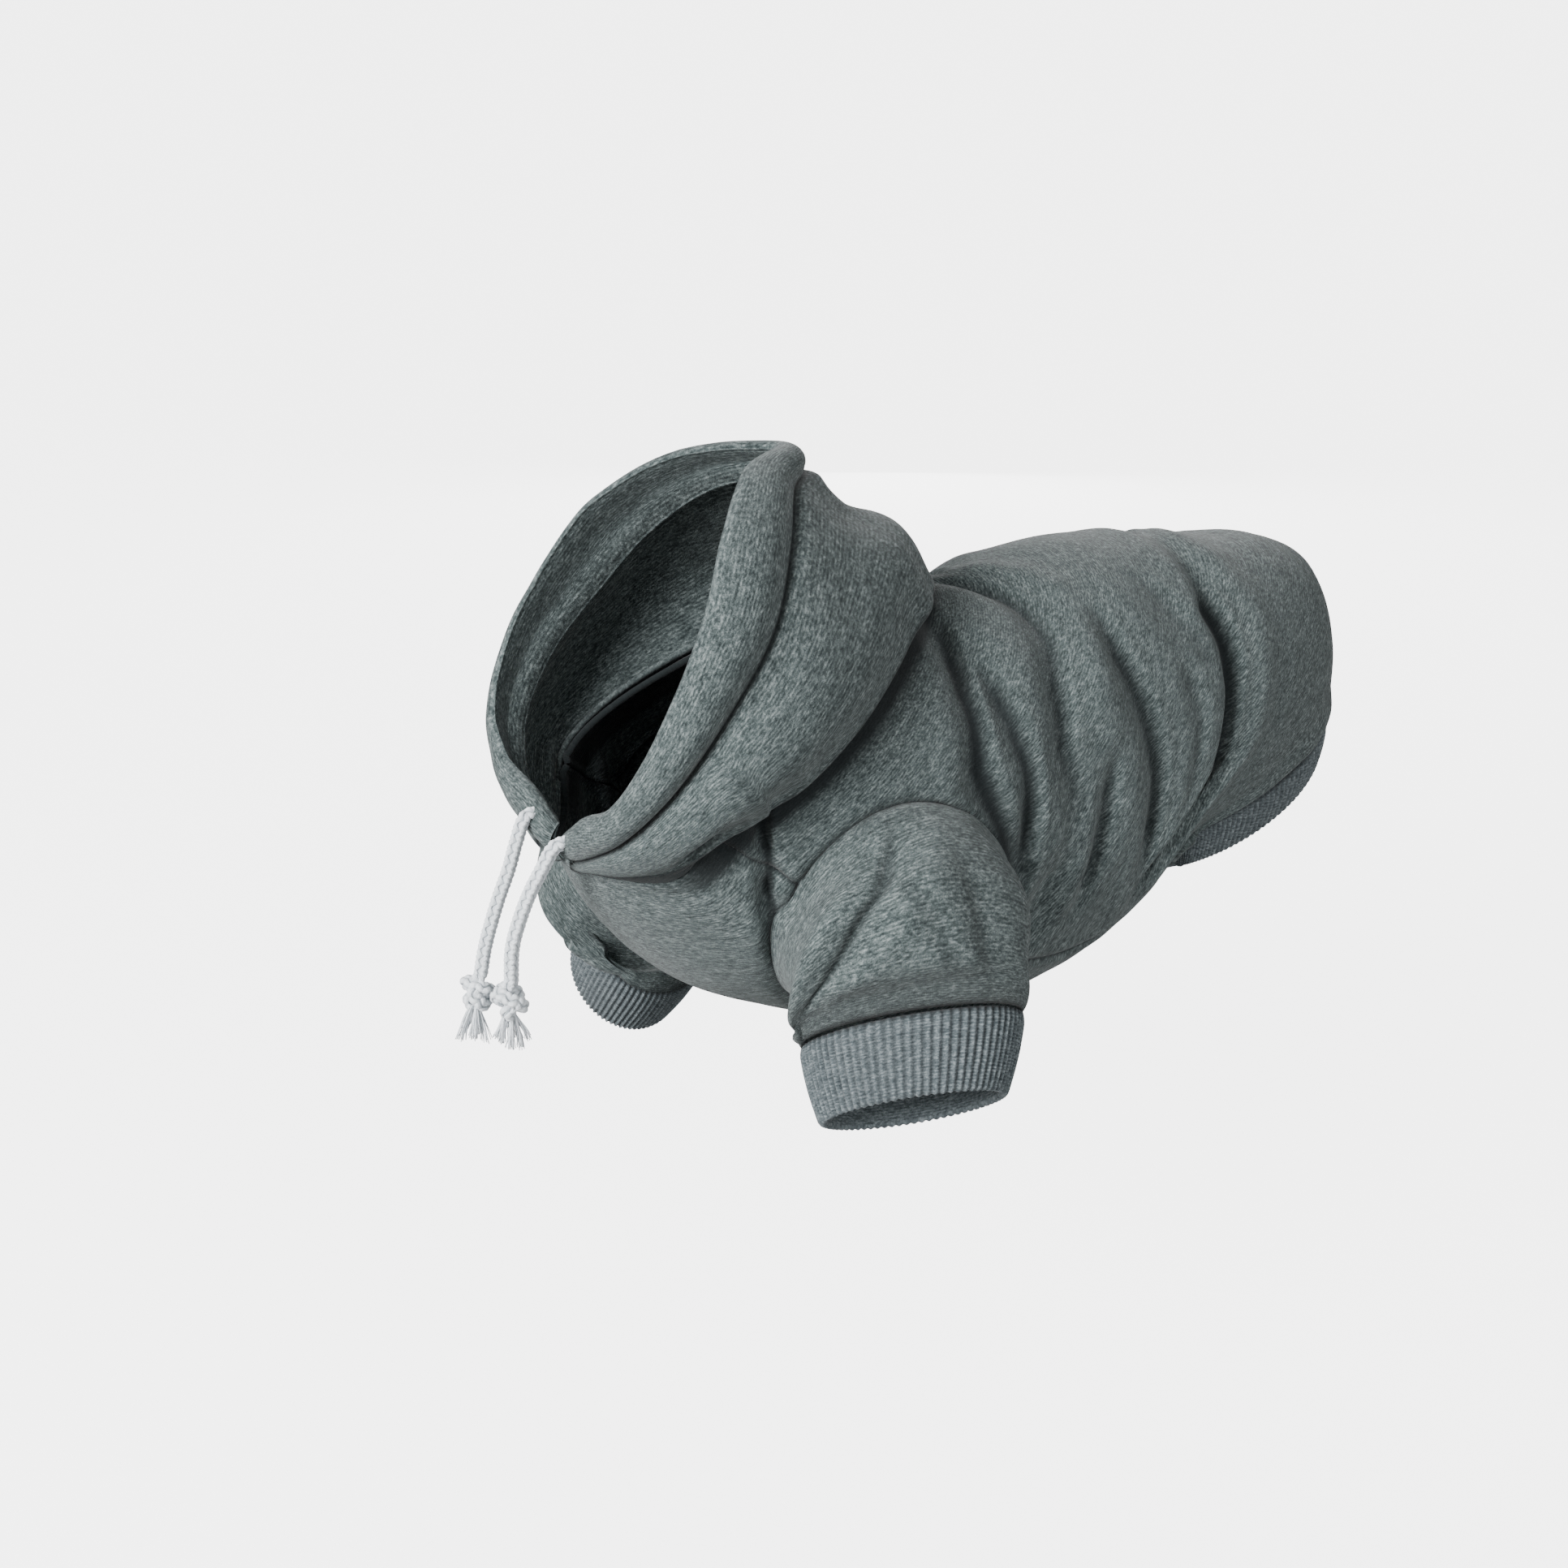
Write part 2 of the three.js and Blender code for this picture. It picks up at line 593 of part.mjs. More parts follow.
for (const [side, hand] of [[1, 'left'], [-1, 'right']]) {
  const sleeveFace = (degrees, run) => mirrored(creasedSleeve(degrees, run), side, run);
  const runs = [0, armholeRun, 0.13, 0.25, 0.4, 0.57, 0.74, 0.88, 1];
  const top = sleeveFrame(1);
  const axis = top.long.clone().cross(top.short).normalize();
  const seamAxis = vec(side * axis.x, axis.y, axis.z);
  const inPlane = (normal) => normal.addScaledVector(seamAxis, -normal.dot(seamAxis)).normalize();
  add(`sleeve_${hand}`, sheet((u, v) => {
    const run = runs[Math.round(v * (runs.length - 1))];
    const normal = facing(sleeveFace, 360 * u, run, 3 * side, 0.02);
    return [sleeveFace(360 * u, run), v === 1 ? inPlane(normal) : normal];
  }, 24, runs.length - 1, true, fleeceWall), fleece);

  const lean = vec(...cuffEnd.lean);
  const cuffFace = (u, v) => {
    const a = 2 * Math.PI * u;
    const long = lerp(top.long.length(), cuffEnd.long * chestWidth, v);
    const short = lerp(top.short.length(), cuffEnd.short * chestWidth, v);
    return mirrored(top.centre.clone()
      .addScaledVector(axis, seamGap)
      .addScaledVector(lean, cuffHeight * v)
      .addScaledVector(top.long.clone().normalize(), long * Math.cos(a))
      .addScaledVector(top.short.clone().normalize(), short * Math.sin(a)), side, 1);
  };
  add(`cuff_${hand}`, sheet((u, v) => {
    const slant = facing(cuffFace, u, v, 0.01 * side, 0.02);
    const normal = v === 0 ? inPlane(slant) : slant;
    const relief = Math.round(u * 2 * ribCount.cuff) % 2 ? ribRelief : 0;
    return [cuffFace(u, v).addScaledVector(normal, 0.3 - relief), normal, ribWall - relief];
  }, 2 * ribCount.cuff, 1, true, ribWall), rib);
}

// Cords, knots and frayed ends
ends.forEach((points, i) => {
  const hand = Object.keys(cordLines)[i];
  const last = points[points.length - 1];
  const down = last.clone().sub(points[points.length - 2]).normalize();
  const stop = last.clone().addScaledVector(down, -0.5 * knotSize - 0.3);
  const inlet = points[0].clone().addScaledVector(points[0].clone().sub(points[1]).normalize(), cordInlet);
  const line = new THREE.CatmullRomCurve3([inlet, ...points.slice(0, -1), stop]);
  add(`drawstring_${hand}`, strand(line, () => cordDiameter / 2, 20, 8), cord);

  const loops = [[0.2, 0], [1.25, 0.9], [1.1, 2.4]].map(([tilt, turn]) => {
    const torus = new THREE.TorusGeometry(0.29 * knotSize, 0.21 * knotSize, 5, 8);
    torus.rotateX(tilt).rotateZ(turn).translate(last.x, last.y, last.z);
    return toSolid(welded(torus));
  });
  add(`knot_${hand}`, fromSolid(loops.reduce((s, c) => s.add(c))), cord);

  const neck = last.clone().addScaledVector(down, 0.5 * knotSize + 0.5);
  const side = vec(1, 0, 0).cross(down).normalize();
  const cross = down.clone().cross(side);
  const head = strand(new THREE.LineCurve3(neck, neck.clone().addScaledVector(down, tasselHead)),
    () => 0.5 * cordDiameter, 1, 10);
  const locks = tasselLocks.map(([turn, spread, share]) => {
    const out = side.clone().multiplyScalar(Math.cos(rad(turn))).addScaledVector(cross, Math.sin(rad(turn)));
    const from = neck.clone().addScaledVector(down, tasselHead / 2).addScaledVector(out, spread ? 0.2 * cordDiameter : 0);
    const reach = share * tasselLength;
    const aim = down.clone().multiplyScalar(Math.cos(rad(spread))).addScaledVector(out, Math.sin(rad(spread)));
    const to = from.clone().addScaledVector(aim, reach);
    return toSolid(strand(new THREE.LineCurve3(from, to), (s) => lerp(...lockRadius, s), 1, 6));
  });
  add(`tassel_${hand}`, fromSolid(locks.reduce((s, c) => s.add(c), toSolid(head))), cord);
});

// Closed mesh with shared corners
function welded(geometry) {
  const p = geometry.attributes.position;
  const source = geometry.index.array;
  const seen = new Map();
  const points = [];
  const map = [];
  for (let i = 0; i < p.count; i += 1) {
    const key = [p.getX(i), p.getY(i), p.getZ(i)].map((v) => Math.round(v * 1e4)).join();
    if (!seen.has(key)) {
      seen.set(key, points.length);
      points.push([p.getX(i), p.getY(i), p.getZ(i)]);
    }
    map.push(seen.get(key));
  }
  const index = [];
  for (let i = 0; i < source.length; i += 3) {
    const [a, b, c] = [map[source[i]], map[source[i + 1]], map[source[i + 2]]];
    if (a !== b && b !== c && a !== c) index.push(a, b, c);
  }
  const result = new THREE.BufferGeometry();
  result.setAttribute('position', new THREE.Float32BufferAttribute(points.flat(), 3));
  result.setIndex(index);
  return faceOut(result);
}

export default group;
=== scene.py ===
# Pet hoodie: cloth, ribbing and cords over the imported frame
import math

import bpy
import numpy as np
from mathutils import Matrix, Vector


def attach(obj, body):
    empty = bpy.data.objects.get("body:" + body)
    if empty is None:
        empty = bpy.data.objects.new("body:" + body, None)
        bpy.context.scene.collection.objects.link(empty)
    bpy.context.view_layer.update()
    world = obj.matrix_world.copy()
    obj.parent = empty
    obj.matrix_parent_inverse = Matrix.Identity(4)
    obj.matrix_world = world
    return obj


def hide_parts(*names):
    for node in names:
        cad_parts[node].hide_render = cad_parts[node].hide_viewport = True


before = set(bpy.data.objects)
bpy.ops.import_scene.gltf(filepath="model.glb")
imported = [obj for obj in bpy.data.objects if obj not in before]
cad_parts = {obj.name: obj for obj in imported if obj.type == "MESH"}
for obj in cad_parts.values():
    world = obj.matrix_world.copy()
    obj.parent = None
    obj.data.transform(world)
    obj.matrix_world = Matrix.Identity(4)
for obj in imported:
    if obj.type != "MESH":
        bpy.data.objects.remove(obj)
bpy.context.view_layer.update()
mm = 0.001
print("frame loaded")


# Camera at the photograph's place, floor and light
view = {
    "place": (0.489, -0.506, 0.118),
    "yaw": 54.1,
    "pitch": 17.7,
    "focalPixels": 2143,
    "framePixels": 1932,
    "sensor": 36,
}
studio = {
    "floorLevel": -0.290,
    "floorRings": (0.7, 1.4),
    "floorRadius": 2.2,
    "wallRadius": 3.6,
    "wallTops": (1.5, 4),
    "bendStep": 6,
    "sides": 72,
    "floorGrey": 0.3,
    "floorRoughness": 0.9,
    "floorGlow": 4.6,
    "worldGrey": 0.86,
    "worldBlue": 1.01,
    "worldStrength": 0.46,
}


def addCamera():
    data = bpy.data.cameras.new("photoCamera")
    data.sensor_width = view["sensor"]
    data.lens = view["sensor"] * view["focalPixels"] / view["framePixels"]
    data.clip_end = 60
    camera = bpy.data.objects.new("photoCamera", data)
    camera.location = view["place"]
    camera.rotation_euler = (math.radians(90 - view["pitch"]), 0, math.radians(view["yaw"]))
    bpy.context.collection.objects.link(camera)
    bpy.context.scene.camera = camera


def paperMaterial():
    material = bpy.data.materials.new("studioPaper")
    material.use_nodes = True
    tree = material.node_tree
    shader = tree.nodes["Principled BSDF"]
    grey = studio["floorGrey"]
    shader.inputs["Base Color"].default_value = (grey, grey, grey, 1)
    shader.inputs["Roughness"].default_value = studio["floorRoughness"]
    shader.inputs["Emission Strength"].default_value = studio["floorGlow"]
    path = tree.nodes.new("ShaderNodeLightPath")
    tree.links.new(path.outputs["Is Camera Ray"], shader.inputs["Emission Color"])
    return material


def addFloor():
    inner, outer, level, sides = (studio[k] for k in ("floorRadius", "wallRadius", "floorLevel", "sides"))
    bend = outer - inner
    rings = [(radius, 0.0) for radius in (*studio["floorRings"], inner)]
    for degrees in range(studio["bendStep"], 91, studio["bendStep"]):
        turn = math.radians(degrees)
        rings.append((inner + bend * math.sin(turn), bend * (1 - math.cos(turn))))
    rings += [(outer, bend + top) for top in studio["wallTops"]]
    turns = [2 * math.pi * k / sides for k in range(sides)]
    points = [(r * math.cos(turn), r * math.sin(turn), level + z) for r, z in rings for turn in turns]
    faces = [tuple(range(sides))]
    for j in range(len(rings) - 1):
        for k in range(sides):
            n = (k + 1) % sides
            faces.append((j * sides + n, j * sides + k, (j + 1) * sides + k, (j + 1) * sides + n))
    mesh = bpy.data.meshes.new("studioFloor")
    mesh.from_pydata(points, [], faces)
    for face in mesh.polygons:
        face.use_smooth = True
    floor = bpy.data.objects.new("studioFloor", mesh)
    bpy.context.collection.objects.link(floor)
    mesh.materials.append(paperMaterial())


lampAim = Vector((0, -0.05, -0.05))
lamps = {
    "keyLamp": {"place": (0.25, -1.75, 0.7), "size": 1.0, "watts": 80},
    "rearLamp": {"place": (-1.7, 1.3, 0.5), "size": 1.6, "watts": 40},
    "fillLamp": {"place": (1.85, -0.05, 0.7), "size": 1.8, "watts": 25},
}


def addLights():
    for name, lamp in lamps.items():
        data = bpy.data.lights.new(name, "AREA")
        data.shape = "DISK"
        data.size = lamp["size"]
        data.energy = lamp["watts"]
        light = bpy.data.objects.new(name, data)
        light.location = lamp["place"]
        aim = lampAim - Vector(lamp["place"])
        light.rotation_euler = aim.to_track_quat("-Z", "Y").to_euler()
        bpy.context.collection.objects.link(light)
    world = bpy.data.worlds.new("studioWorld")
    world.use_nodes = True
    background = world.node_tree.nodes["Background"]
    grey = studio["worldGrey"]
    background.inputs["Color"].default_value = (grey, grey, grey * studio["worldBlue"], 1)
    background.inputs["Strength"].default_value = studio["worldStrength"]
    bpy.context.scene.world = world


addCamera()
addFloor()
addLights()
print("camera, floor and lights made")


# Node group for the marl: flecks of three sizes over the knit's wales
marl = {
    "streaks": (1.0, 3.0, 0.65),  # share of the fleck scale, detail, roughness
    "grain": (2.0, 2.0, 0.6),
    "patches": (0.3, 2.0, 0.5),
    "weights": (0.62, 0.26, 0.22, 0.05),  # streaks, grain, patches, wales
    "stretch": (0.42, 1.0, 1.0),
    "wales": {"Distortion": 1.2, "Detail": 1.0, "Detail Scale": 3.0},
    "waleHeight": 0.25,
    "sockets": [
        ("Vector", "INPUT", "Vector"),
        ("Fleck Scale", "INPUT", "Float"),
        ("Wale Scale", "INPUT", "Float"),
        ("Fleck", "OUTPUT", "Float"),
        ("Height", "OUTPUT", "Float"),
    ],
}


def setInputs(node, values):
    for label, value in values.items():
        node.inputs[label].default_value = value


def makeMarlGroup():
    group = bpy.data.node_groups.new("marlKnit", "ShaderNodeTree")
    link = group.links.new
    for label, way, kind in marl["sockets"]:
        group.interface.new_socket(label, in_out=way, socket_type=f"NodeSocket{kind}")
    start = group.nodes.new("NodeGroupInput")
    end = group.nodes.new("NodeGroupOutput")
    vector = start.outputs["Vector"]
    stretch = group.nodes.new("ShaderNodeMapping")
    setInputs(stretch, {"Scale": marl["stretch"]})
    link(vector, stretch.inputs["Vector"])

    def combine(operation, first, second):
        node = group.nodes.new("ShaderNodeMath")
        node.operation = operation
        link(first, node.inputs[0])
        if isinstance(second, float):
            node.inputs[1].default_value = second
        else:
            link(second, node.inputs[1])
        return node.outputs[0]

    def noise(source, share, detail, roughness):
        node = group.nodes.new("ShaderNodeTexNoise")
        setInputs(node, {"Detail": detail, "Roughness": roughness})
        link(source, node.inputs["Vector"])
        link(combine("MULTIPLY", start.outputs["Fleck Scale"], share), node.inputs["Scale"])
        return node.outputs["Fac"]

    streaks = noise(stretch.outputs[0], *marl["streaks"])
    grain = noise(vector, *marl["grain"])
    patches = noise(stretch.outputs[0], *marl["patches"])
    waves = group.nodes.new("ShaderNodeTexWave")
    waves.bands_direction = "Y"
    setInputs(waves, marl["wales"])
    link(vector, waves.inputs["Vector"])
    link(start.outputs["Wale Scale"], waves.inputs["Scale"])
    wales = waves.outputs["Fac"]
    parts = zip((streaks, grain, patches, wales), marl["weights"])
    fleck, *others = (combine("MULTIPLY", part, weight) for part, weight in parts)
    for other in others:
        fleck = combine("ADD", fleck, other)
    link(fleck, end.inputs["Fleck"])
    height = combine("MULTIPLY", wales, marl["waleHeight"])
    link(combine("ADD", height, grain), end.inputs["Height"])
    return group


marlGroup = makeMarlGroup()
finish = {"Sheen Roughness": 0.5, "Specular IOR Level": 0.2}
bumpDistance = 0.0006


def clothMaterial(name, look):
    material = bpy.data.materials.new(name)
    material.use_nodes = True
    tree = material.node_tree
    link = tree.links.new
    shader = tree.nodes["Principled BSDF"]
    setInputs(shader, {**finish, "Roughness": look["roughness"], "Sheen Weight": look["sheen"]})
    place = tree.nodes.new("ShaderNodeUVMap")
    knit = tree.nodes.new("ShaderNodeGroup")
    knit.node_tree = marlGroup
    setInputs(knit, {"Fleck Scale": look["fleckScale"], "Wale Scale": look["waleScale"]})
    link(place.outputs[0], knit.inputs["Vector"])
    ramp = tree.nodes.new("ShaderNodeValToRGB")
    stops = look["stops"]
    for k in (0, -1):
        ramp.color_ramp.elements[k].position = stops[k][0]
        ramp.color_ramp.elements[k].color = (*stops[k][1], 1)
    for position, colour in stops[1:-1]:
        ramp.color_ramp.elements.new(position).color = (*colour, 1)
    link(knit.outputs["Fleck"], ramp.inputs["Fac"])
    # Painted shade: a per-point attribute mixes the marl colour toward a dark colour where creases, seams,
    # rib grooves, the hood's brim or crossing cord strands would put the cloth in shade
    paintedShade = tree.nodes.new("ShaderNodeAttribute")
    paintedShade.attribute_name = "paintedShade"
    darker = tree.nodes.new("ShaderNodeMix")
    darker.data_type = "RGBA"
    darker.inputs[7].default_value = (*look["paintedShade"], 1)
    link(paintedShade.outputs["Fac"], darker.inputs[0])
    link(ramp.outputs["Color"], darker.inputs[6])
    link(darker.outputs[2], shader.inputs["Base Color"])
    bump = tree.nodes.new("ShaderNodeBump")
    setInputs(bump, {"Strength": look["bump"], "Distance": bumpDistance})
    link(knit.outputs["Height"], bump.inputs["Height"])
    link(bump.outputs["Normal"], shader.inputs["Normal"])
    return material


# Each look also holds the dark colour that its painted shade mixes toward
looks = {
    "fleece": {
        "roughness": 0.95,
        "sheen": 0.12,
        "fleckScale": 118,
        "waleScale": 30,
        "bump": 0.5,
        "paintedShade": (0.008, 0.011, 0.012),
        "stops": [
            (0.43, (0.015, 0.022, 0.023)),
            (0.54, (0.050, 0.065, 0.065)),
            (0.62, (0.102, 0.125, 0.124)),
            (0.75, (0.245, 0.280, 0.277)),
        ],
    },
    "ribKnit": {
        "roughness": 0.95,
        "sheen": 0.12,
        "fleckScale": 125,
        "waleScale": 30,
        "bump": 0.4,
        "paintedShade": (0.012, 0.016, 0.018),
        "stops": [
            (0.42, (0.030, 0.040, 0.045)),
            (0.57, (0.096, 0.116, 0.124)),
            (0.75, (0.250, 0.285, 0.298)),
        ],
    },
    "whiteCotton": {
        "roughness": 0.9,
        "sheen": 0.4,
        "fleckScale": 120,
        "waleScale": 60,
        "bump": 0.5,
        "paintedShade": (0.34, 0.38, 0.41),
        "stops": [(0.35, (0.74, 0.79, 0.83)), (0.75, (0.92, 0.96, 0.99))],
    },
}
slots = ("fleece", "rib_knit", "cord")
materials = {slot: clothMaterial(*item) for slot, item in zip(slots, looks.items())}
print("materials made")


# Tables in millimetres in the frame of the part, as the solids have them
torsoRows = [  # top y z, side x y z, bottom y z, squareness, arch
    (-111, -7, 53, -198, -52, -242, -85, -0.08, 0),
    (-80, -8, 66, -166, -64, -230, -109, -0.05, 0),
    (-54, -4, 72, -138, -76, -206, -135, 0.00, 0),
    (-27, 1, 75, -106, -85, -175, -151, 0.03, 0),
    (0, 2.4, 75, -76, -90, -135, -164, 0.03, 0),
    (31, 0, 75, -50, -92, -88, -172, 0.03, 0),
    (62, -3.5, 75, -30, -93, -52, -166, 0.03, 0),
    (92, -6, 74, -18, -94, -22, -155, 0.03, 1),
    (121, -18, 73, -8, -96, 0, -147, 0.03, 3),
    (137, -46, 71, -3, -99, 14, -144, 0.03, 5),
    (139, -82, 69, -2, -103, 22, -142, 0.03, 5),
    (137, -99, 68, -3, -116, 36, -140, 0.03, 5),
]
sideSeam = [(0, 112), (2, 116), (5, 126), (10, 130)]  # section, angle
collarSag = {"angle": 132, "half": 17, "sections": 0.4}
hoodRows = [  # angle, overhang reach, crease x y z, edge x y z, bulge
    (0, 17, 0, -146, 38, 0, -156, 48, 8),
    (25, 14, 22, -164, 35, 22, -182, 45, 9),
    (48, 11, 42, -180, 19, 42, -204, 29, 9),
    (70, 10, 55, -196, -3, 53, -218, 7, 9),
    (92, 8, 59, -216, -26, 56, -232, -17, 8),
    (115, 5, 53, -232, -49, 51, -243, -40, 6),
    (138, 1, 36, -241, -68, 37, -247, -56, 3),
    (160, 0, 17, -244, -79, 18, -245, -64, 1),
    (176, 0, 4, -243.5, -83, 4, -243, -73, 0),
]
sleeveRows = [  # run, centre x y z, long radius, short radius, turn, tilt, rise
    (0, 64, -151, -105, 43, 41, 0, 73, 0),
    (0.35, 82, -160, -108, 43.5, 36, 10, 60, 0),
    (0.68, 86, -163.5, -123, 40.5, 35, 22, 44, 4),
    (0.9, 84, -159.8, -132, 39.5, 31, 32, 41, 8),
    (1, 80.5, -157, -141, 38.5, 28, 35, 39, 9),
]
cloth = {
    "wall": 2.4,
    "channel": 7.5,
    "lining": 0.9,
    "hemSection": 10,
    "seamGap": -0.2,
    "chestWidth": 150,
    "bodyLength": 390,
    "hemFade": 0.6,
}
perDegree = math.pi * cloth["chestWidth"] / 360
perSection = cloth["bodyLength"] / 12
uvScale = 0.01
strandUv = 0.004
creases = [  # side, depth, half width, then angle and section pairs
    (1, 3.0, 6, 21, 0.45, 54, 1.25, 75, 2.0, 97, 3.2),
    (1, 2.6, 5, 42, 1.1, 60, 1.9, 75, 2.65, 86, 3.05, 100, 3.55),
    (1, 3.4, 8, -10, 1.0, 8, 1.4, 20, 1.75, 39, 2.25, 54, 2.55, 69, 3.0, 83, 3.75),
    (1, 2.6, 7, 31, 2.7, 48, 3.5, 63, 4.35, 78, 5.25, 90, 5.75, 102, 6.15),
    (1, 2.0, 5, 72, 3.9, 84, 4.35, 96, 4.7, 107, 4.85),
    (1, 4.2, 8, 4, 4.8, 22, 5.0, 36, 5.25, 51, 6.05, 64, 6.85, 75, 7.4, 90, 7.2, 102, 6.8, 110, 6.5),
    (1, 2.2, 3.0, 92, 0.05, 99.5, 0.27, 110, 0.68, 120, 1.12, 128.6, 1.6, 135, 2.0),
    (1, 2.6, 6, 96, 3.9, 106, 4.1, 116, 4.4),
    (-1, 3.0, 7, 14, 0.6, 40, 1.3, 66, 2.1, 92, 3.4),
    (-1, 3.0, 8, 12, 1.6, 34, 2.4, 56, 3.2, 80, 4.5, 100, 5.2),
    (-1, 2.2, 6, 60, 4.2, 80, 5.2, 100, 5.8),
    (-1, 3.6, 8, 4, 4.9, 26, 5.4, 48, 6.2, 70, 7.2, 92, 7.2, 108, 6.7),
    (-1, 2.6, 4, 104, 0.4, 120, 1.2, 130, 1.8),
]


def between(rows, position):
    rows = np.asarray(rows, float)
    position = np.asarray(position, float)
    last = len(rows) - 1
    i = np.clip(np.floor(position).astype(int), 0, last - 1)
    s = (position - i)[..., None]
    b, c = rows[i], rows[i + 1]
    a = np.where((i > 0)[..., None], rows[np.maximum(i - 1, 0)], 2 * b - c)
    d = np.where((i + 2 <= last)[..., None], rows[np.minimum(i + 2, last)], 2 * c - b)
    return b + 0.5 * s * (c - a + s * (2 * a - 5 * b + 4 * c - d + s * (3 * (b - c) + d - a)))


def rowAt(rows, value):
    keys = np.array([row[0] for row in rows], float)
    i = np.clip(np.searchsorted(keys, value, side="right") - 1, 0, len(keys) - 2)
    return i + (value - keys[i]) / (keys[i + 1] - keys[i])


def unit(vectors):
    return vectors / np.maximum(np.linalg.norm(vectors, axis=-1, keepdims=True), 1e-9)


def smoothStep(value, low, high):
    k = np.clip((value - low) / (high - low), 0, 1)
    return k * k * (3 - 2 * k)


def bell(value, half=1, power=2):
    return np.exp(-(np.abs(value / half) ** power))


def mound(value, height, place, half):
    return height * bell(value - place, half)


def wrap(angle):
    return (angle + 540) % 360 - 180


def baseTorso(angle, section):
    ty, tz, sx, sy, sz, by, bz, q, arch = np.moveaxis(between(torsoRows, section), -1, 0)
    a = np.radians(angle)

    def ring(top, side, bottom, lift):
        middle = (top + bottom) / 2
        return (
            (middle + side) / 2
            + ((top - bottom) / 2 - lift) * np.cos(a)
            + ((middle - side) / 2) * np.cos(2 * a)
            + lift * np.cos(3 * a)
        )

    x = sx * (np.sin(a) + q * np.sin(3 * a)) / (1 - q)
    return np.stack([x, ring(ty, sy, by, 0), ring(tz, sz, bz, arch)], -1)


def facing(surface, a, s, da=1, ds=0.03):
    u = surface(a + da, s) - surface(a - da, s)
    v = surface(a, s + ds) - surface(a, s - ds)
    return unit(np.cross(u, v))


creaseShape = {"fadeSlope": 4, "fadeStart": 0.3, "ridgePlace": 1.9, "lowestAngle": -20}


# With a tail above 1, the cloth before a crease sinks slowly and the cloth behind it stands up
def creaseDepth(angle, section, table, ridge=0.45, sharp=2.0, tail=1.0):
    wrapped = wrap(angle)
    total = np.zeros(np.broadcast(angle, section).shape)
    for side, depth, half, *path in table:
        place = side * wrapped
        near = np.full(total.shape, 1e9)
        run = np.zeros(total.shape)
        behind = np.zeros(total.shape, bool)
        count = len(path) // 2 - 1
        for i in range(count):
            a0, s0, a1, s1 = path[2 * i : 2 * i + 4]
            dx, dy = (a1 - a0) * perDegree, (s1 - s0) * perSection
            px, py = (place - a0) * perDegree, (section - s0) * perSection
            k = np.clip((px * dx + py * dy) / (dx * dx + dy * dy), 0, 1)
            distance = np.hypot(px - k * dx, py - k * dy)
            run = np.where(distance < near, (i + k) / count, run)
            behind = np.where(distance < near, dx * py > dy * px, behind)
            near = np.minimum(distance, near)
        fade = np.minimum(1, creaseShape["fadeSlope"] * np.minimum(run, 1 - run) + creaseShape["fadeStart"])
        r = near / half
        rise = np.where(behind, ridge, ridge * (tail <= 1)) * bell(r - creaseShape["ridgePlace"])
        swell = depth * fade * (rise - bell(np.where(behind, r, r / tail), 1, sharp))
        total += np.where(place < creaseShape["lowestAngle"], 0, swell)
    return total


def torso(angle, section):
    angle, section = np.broadcast_arrays(np.asarray(angle, float), np.asarray(section, float))
    fade = np.clip((cloth["hemSection"] - section) / cloth["hemFade"], 0, 1)
    push = fade * creaseDepth(angle, section, creases)
    return baseTorso(angle, section) + facing(baseTorso, angle, section) * push[..., None]


def neckSection(angle):
    off = np.abs(wrap(angle)) - collarSag["angle"]
    return collarSag["sections"] * bell(off, collarSag["half"])


# Seeded soft noise on a lattice, for folds that no table names
latticeSize = 24
lattice = np.random.RandomState(7).rand(latticeSize, latticeSize, latticeSize)


def softNoise(points, size, shift=0.0):
    p = points / size + shift + 100
    i = np.floor(p).astype(int)
    f = p - i
    f = f * f * (3 - 2 * f)
    total = 0
    for corner in np.ndindex(2, 2, 2):
        c = np.array(corner)
        weight = np.prod(np.where(c == 1, f, 1 - f), axis=-1)
        total = total + weight * lattice[tuple(np.moveaxis((i + c) % latticeSize, -1, 0))]
    return 2 * total - 1


def softFolds(points, folds):
    return sum(depth * softNoise(points, size, shift) for depth, size, shift in folds)


def gridNormals(points, closed):
    if closed:
        du = np.roll(points, -1, 1) - np.roll(points, 1, 1)
    else:
        du = np.gradient(points, axis=1)
    dv = np.gradient(points, axis=0)
    return unit(np.cross(du, dv))


def outwardNormals(points, closed):
    normal = gridNormals(points, closed)
    centre = points.mean(1, keepdims=True) if closed else points.mean((0, 1))
    return -normal if (normal * (points - centre)).sum() < 0 else normal


def sumsFromZero(steps):
    return np.concatenate([[0], np.cumsum(steps)])


def lengthsAlong(line):
    return sumsFromZero(np.linalg.norm(np.diff(line, axis=0), axis=1))


def runLengths(points, closed):
    steps = np.linalg.norm(np.diff(points, axis=1), axis=-1).mean(0)
    if closed:
        steps = np.append(steps, np.linalg.norm(points[:, 0] - points[:, -1], axis=-1).mean())
    rise = np.linalg.norm(np.diff(points, axis=0), axis=-1).mean(1)
    return sumsFromZero(steps), sumsFromZero(rise)


def makeObject(name, points, faces, uvs, slotName, shade=None):
    mesh = bpy.data.meshes.new(name)
    mesh.from_pydata((np.asarray(points) * mm).tolist(), [], faces)
    layer = mesh.uv_layers.new(name="cloth")
    layer.data.foreach_set("uv", np.asarray(uvs, dtype=np.float32).ravel())
    mesh.polygons.foreach_set("use_smooth", np.ones(len(mesh.polygons), dtype=bool))
    # The painted shade of each point, stored as an attribute that darkens the base colour
    if shade is not None:
        depth = mesh.attributes.new("paintedShade", "FLOAT", "POINT")
        depth.data.foreach_set("value", np.clip(shade, 0, 1).astype(np.float32).ravel())
    mesh.materials.append(materials[slotName])
    mesh.update()
    piece = bpy.data.objects.new(name, mesh)
    bpy.context.collection.objects.link(piece)
    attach(piece, "root")
    return piece


